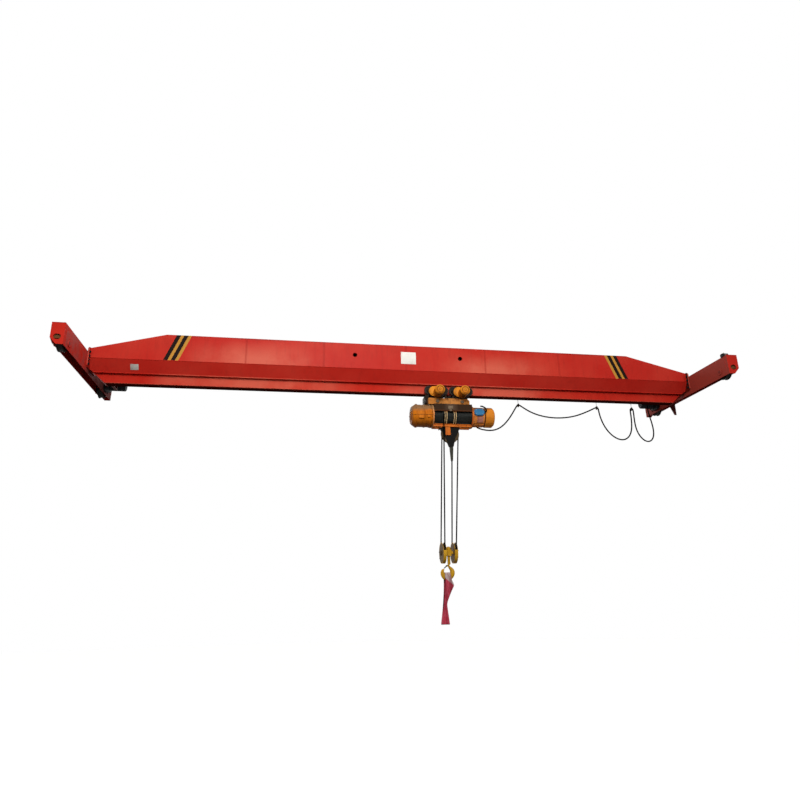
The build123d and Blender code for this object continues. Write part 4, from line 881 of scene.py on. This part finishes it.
sling_columns, strap_thickness = 18, 0.007
sling_path = [(-y, z) for y, z in reversed(sling_half_path[1:])] + sling_half_path
strap = bmesh.new()
bmesh.ops.create_grid(strap, x_segments=sling_columns, y_segments=len(sling_path) - 1, size=0.5)
for vertex in strap.verts:
    share = vertex.co.x + 0.5
    y, z = sling_path[round((vertex.co.y + 0.5) * (len(sling_path) - 1))]
    left, right_edge = edges_at(z)
    fold = 0.0035 + 0.004 * max(0.0, 1 - abs(z + 4.0) / 0.35)
    ripple = fold * math.sin(2 * math.pi * (2.5 * share + 0.6 * z)) if z < -3.55 else 0
    vertex.co = (left + (right_edge - left) * share, y + ripple, z)
sling = finished("web_sling_strap", strap, None, webbing, 60)
thickness = sling.modifiers.new("thickness", "SOLIDIFY")
thickness.thickness = strap_thickness
thickness.offset = 0
soften = sling.modifiers.new("soften", "SUBSURF")
soften.levels = soften.render_levels = 1
dress(webbing, "web_sling")
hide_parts("web_sling")
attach(sling, "hook")

# Cable track: a taut steel wire between two brackets behind the girder, which are brushed dark red. Pressed
# hangers, dark with grease, slide on the wire and carry the cable in a saddle held by a bolt.
dress(rolled_steel, "track_wire")
bracket_enamel = weathered("brushed_enamel_brackets", "4A1812", "5E2A20", "1C0806", 0.55, 0.6, 0.6, 120)
dress(bracket_enamel, "wire_anchors")
for number, x in enumerate((2.360, 4.082, 4.870), 1):
    hanger = "cable_hanger_%d" % number
    dress(greasy_steel, hanger)
    hanger_bolts = bmesh.new()
    for y, facing in ((0.331, -1), (0.369, 1)):
        add_bolt(hanger_bolts, (x, y, -0.185), (0, facing, 0), 0.008)
    finished("hanger_bolts_%d" % number, hanger_bolts, hanger, greasy_steel)

# Festoon cable: power cable in an extruded rubber sheath, from the hoist over three hangers to the girder.
# The route is in mm.
cable_diameter = 0.028
cable_route = [(x / 1000, y / 1000, z / 1000) for x, y, z in (
    (1380, 187, -663), (1398, 220, -684), (1462, 258, -704), (1560, 285, -720), (1672, 305, -727),
    (1788, 326, -714), (1900, 341, -674), (2010, 350, -598), (2112, 352, -492), (2202, 352, -370),
    (2270, 350, -262), (2317, 350, -190), (2340, 350, -157), (2363, 350, -151), (2406, 350, -171),
    (2482, 351, -222), (2600, 354, -290), (2750, 357, -348), (2920, 360, -387), (3100, 361, -405),
    (3280, 360, -402), (3450, 358, -382), (3600, 356, -348), (3742, 354, -299), (3872, 352, -245),
    (3972, 351, -199), (4040, 350, -167), (4078, 350, -152), (4098, 350, -155), (4112, 350, -170),
    (4119, 350, -214), (4130, 352, -310), (4162, 356, -432), (4216, 361, -560), (4300, 366, -684),
    (4412, 368, -784), (4540, 366, -838), (4666, 362, -824), (4764, 357, -736), (4815, 353, -602),
    (4833, 351, -452), (4838, 350, -322), (4836, 350, -236), (4838, 350, -194), (4841, 350, -170),
    (4858, 350, -153), (4883, 350, -153), (4901, 350, -171), (4905, 350, -216), (4903, 349, -310),
    (4900, 346, -470), (4918, 341, -634), (4984, 336, -778), (5092, 334, -868), (5204, 337, -858),
    (5282, 341, -764), (5305, 345, -620), (5292, 348, -462), (5264, 350, -320), (5240, 346, -176),
    (5224, 320, -46), (5212, 256, 52), (5206, 186, 107), (5205, 151, 129))]


def route_line(name, route):
    """Points along the smooth NURBS line of a route."""
    curve = bpy.data.curves.new(name, "CURVE")
    curve.dimensions = "3D"
    spline = curve.splines.new("NURBS")
    spline.points.add(len(route) - 1)
    for point, place in zip(spline.points, route):
        point.co = (*place, 1)
    spline.order_u = 3
    spline.use_endpoint_u = True
    spline.resolution_u = 6
    holder = bpy.data.objects.new(name, curve)
    line = bpy.data.meshes.new_from_object(holder)
    points = [vertex.co.copy() for vertex in line.vertices]
    bpy.data.objects.remove(holder)
    bpy.data.curves.remove(curve)
    bpy.data.meshes.remove(line)
    return points


cable_points = route_line("cable_line", cable_route)
sheath = bmesh.new()
add_tube(sheath, cable_points, cable_diameter / 2, 12)
cable = finished("festoon_cable_sheath", sheath, None, rubber, 80)
dress(rubber, "festoon_cable")
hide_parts("festoon_cable")
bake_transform(cable)
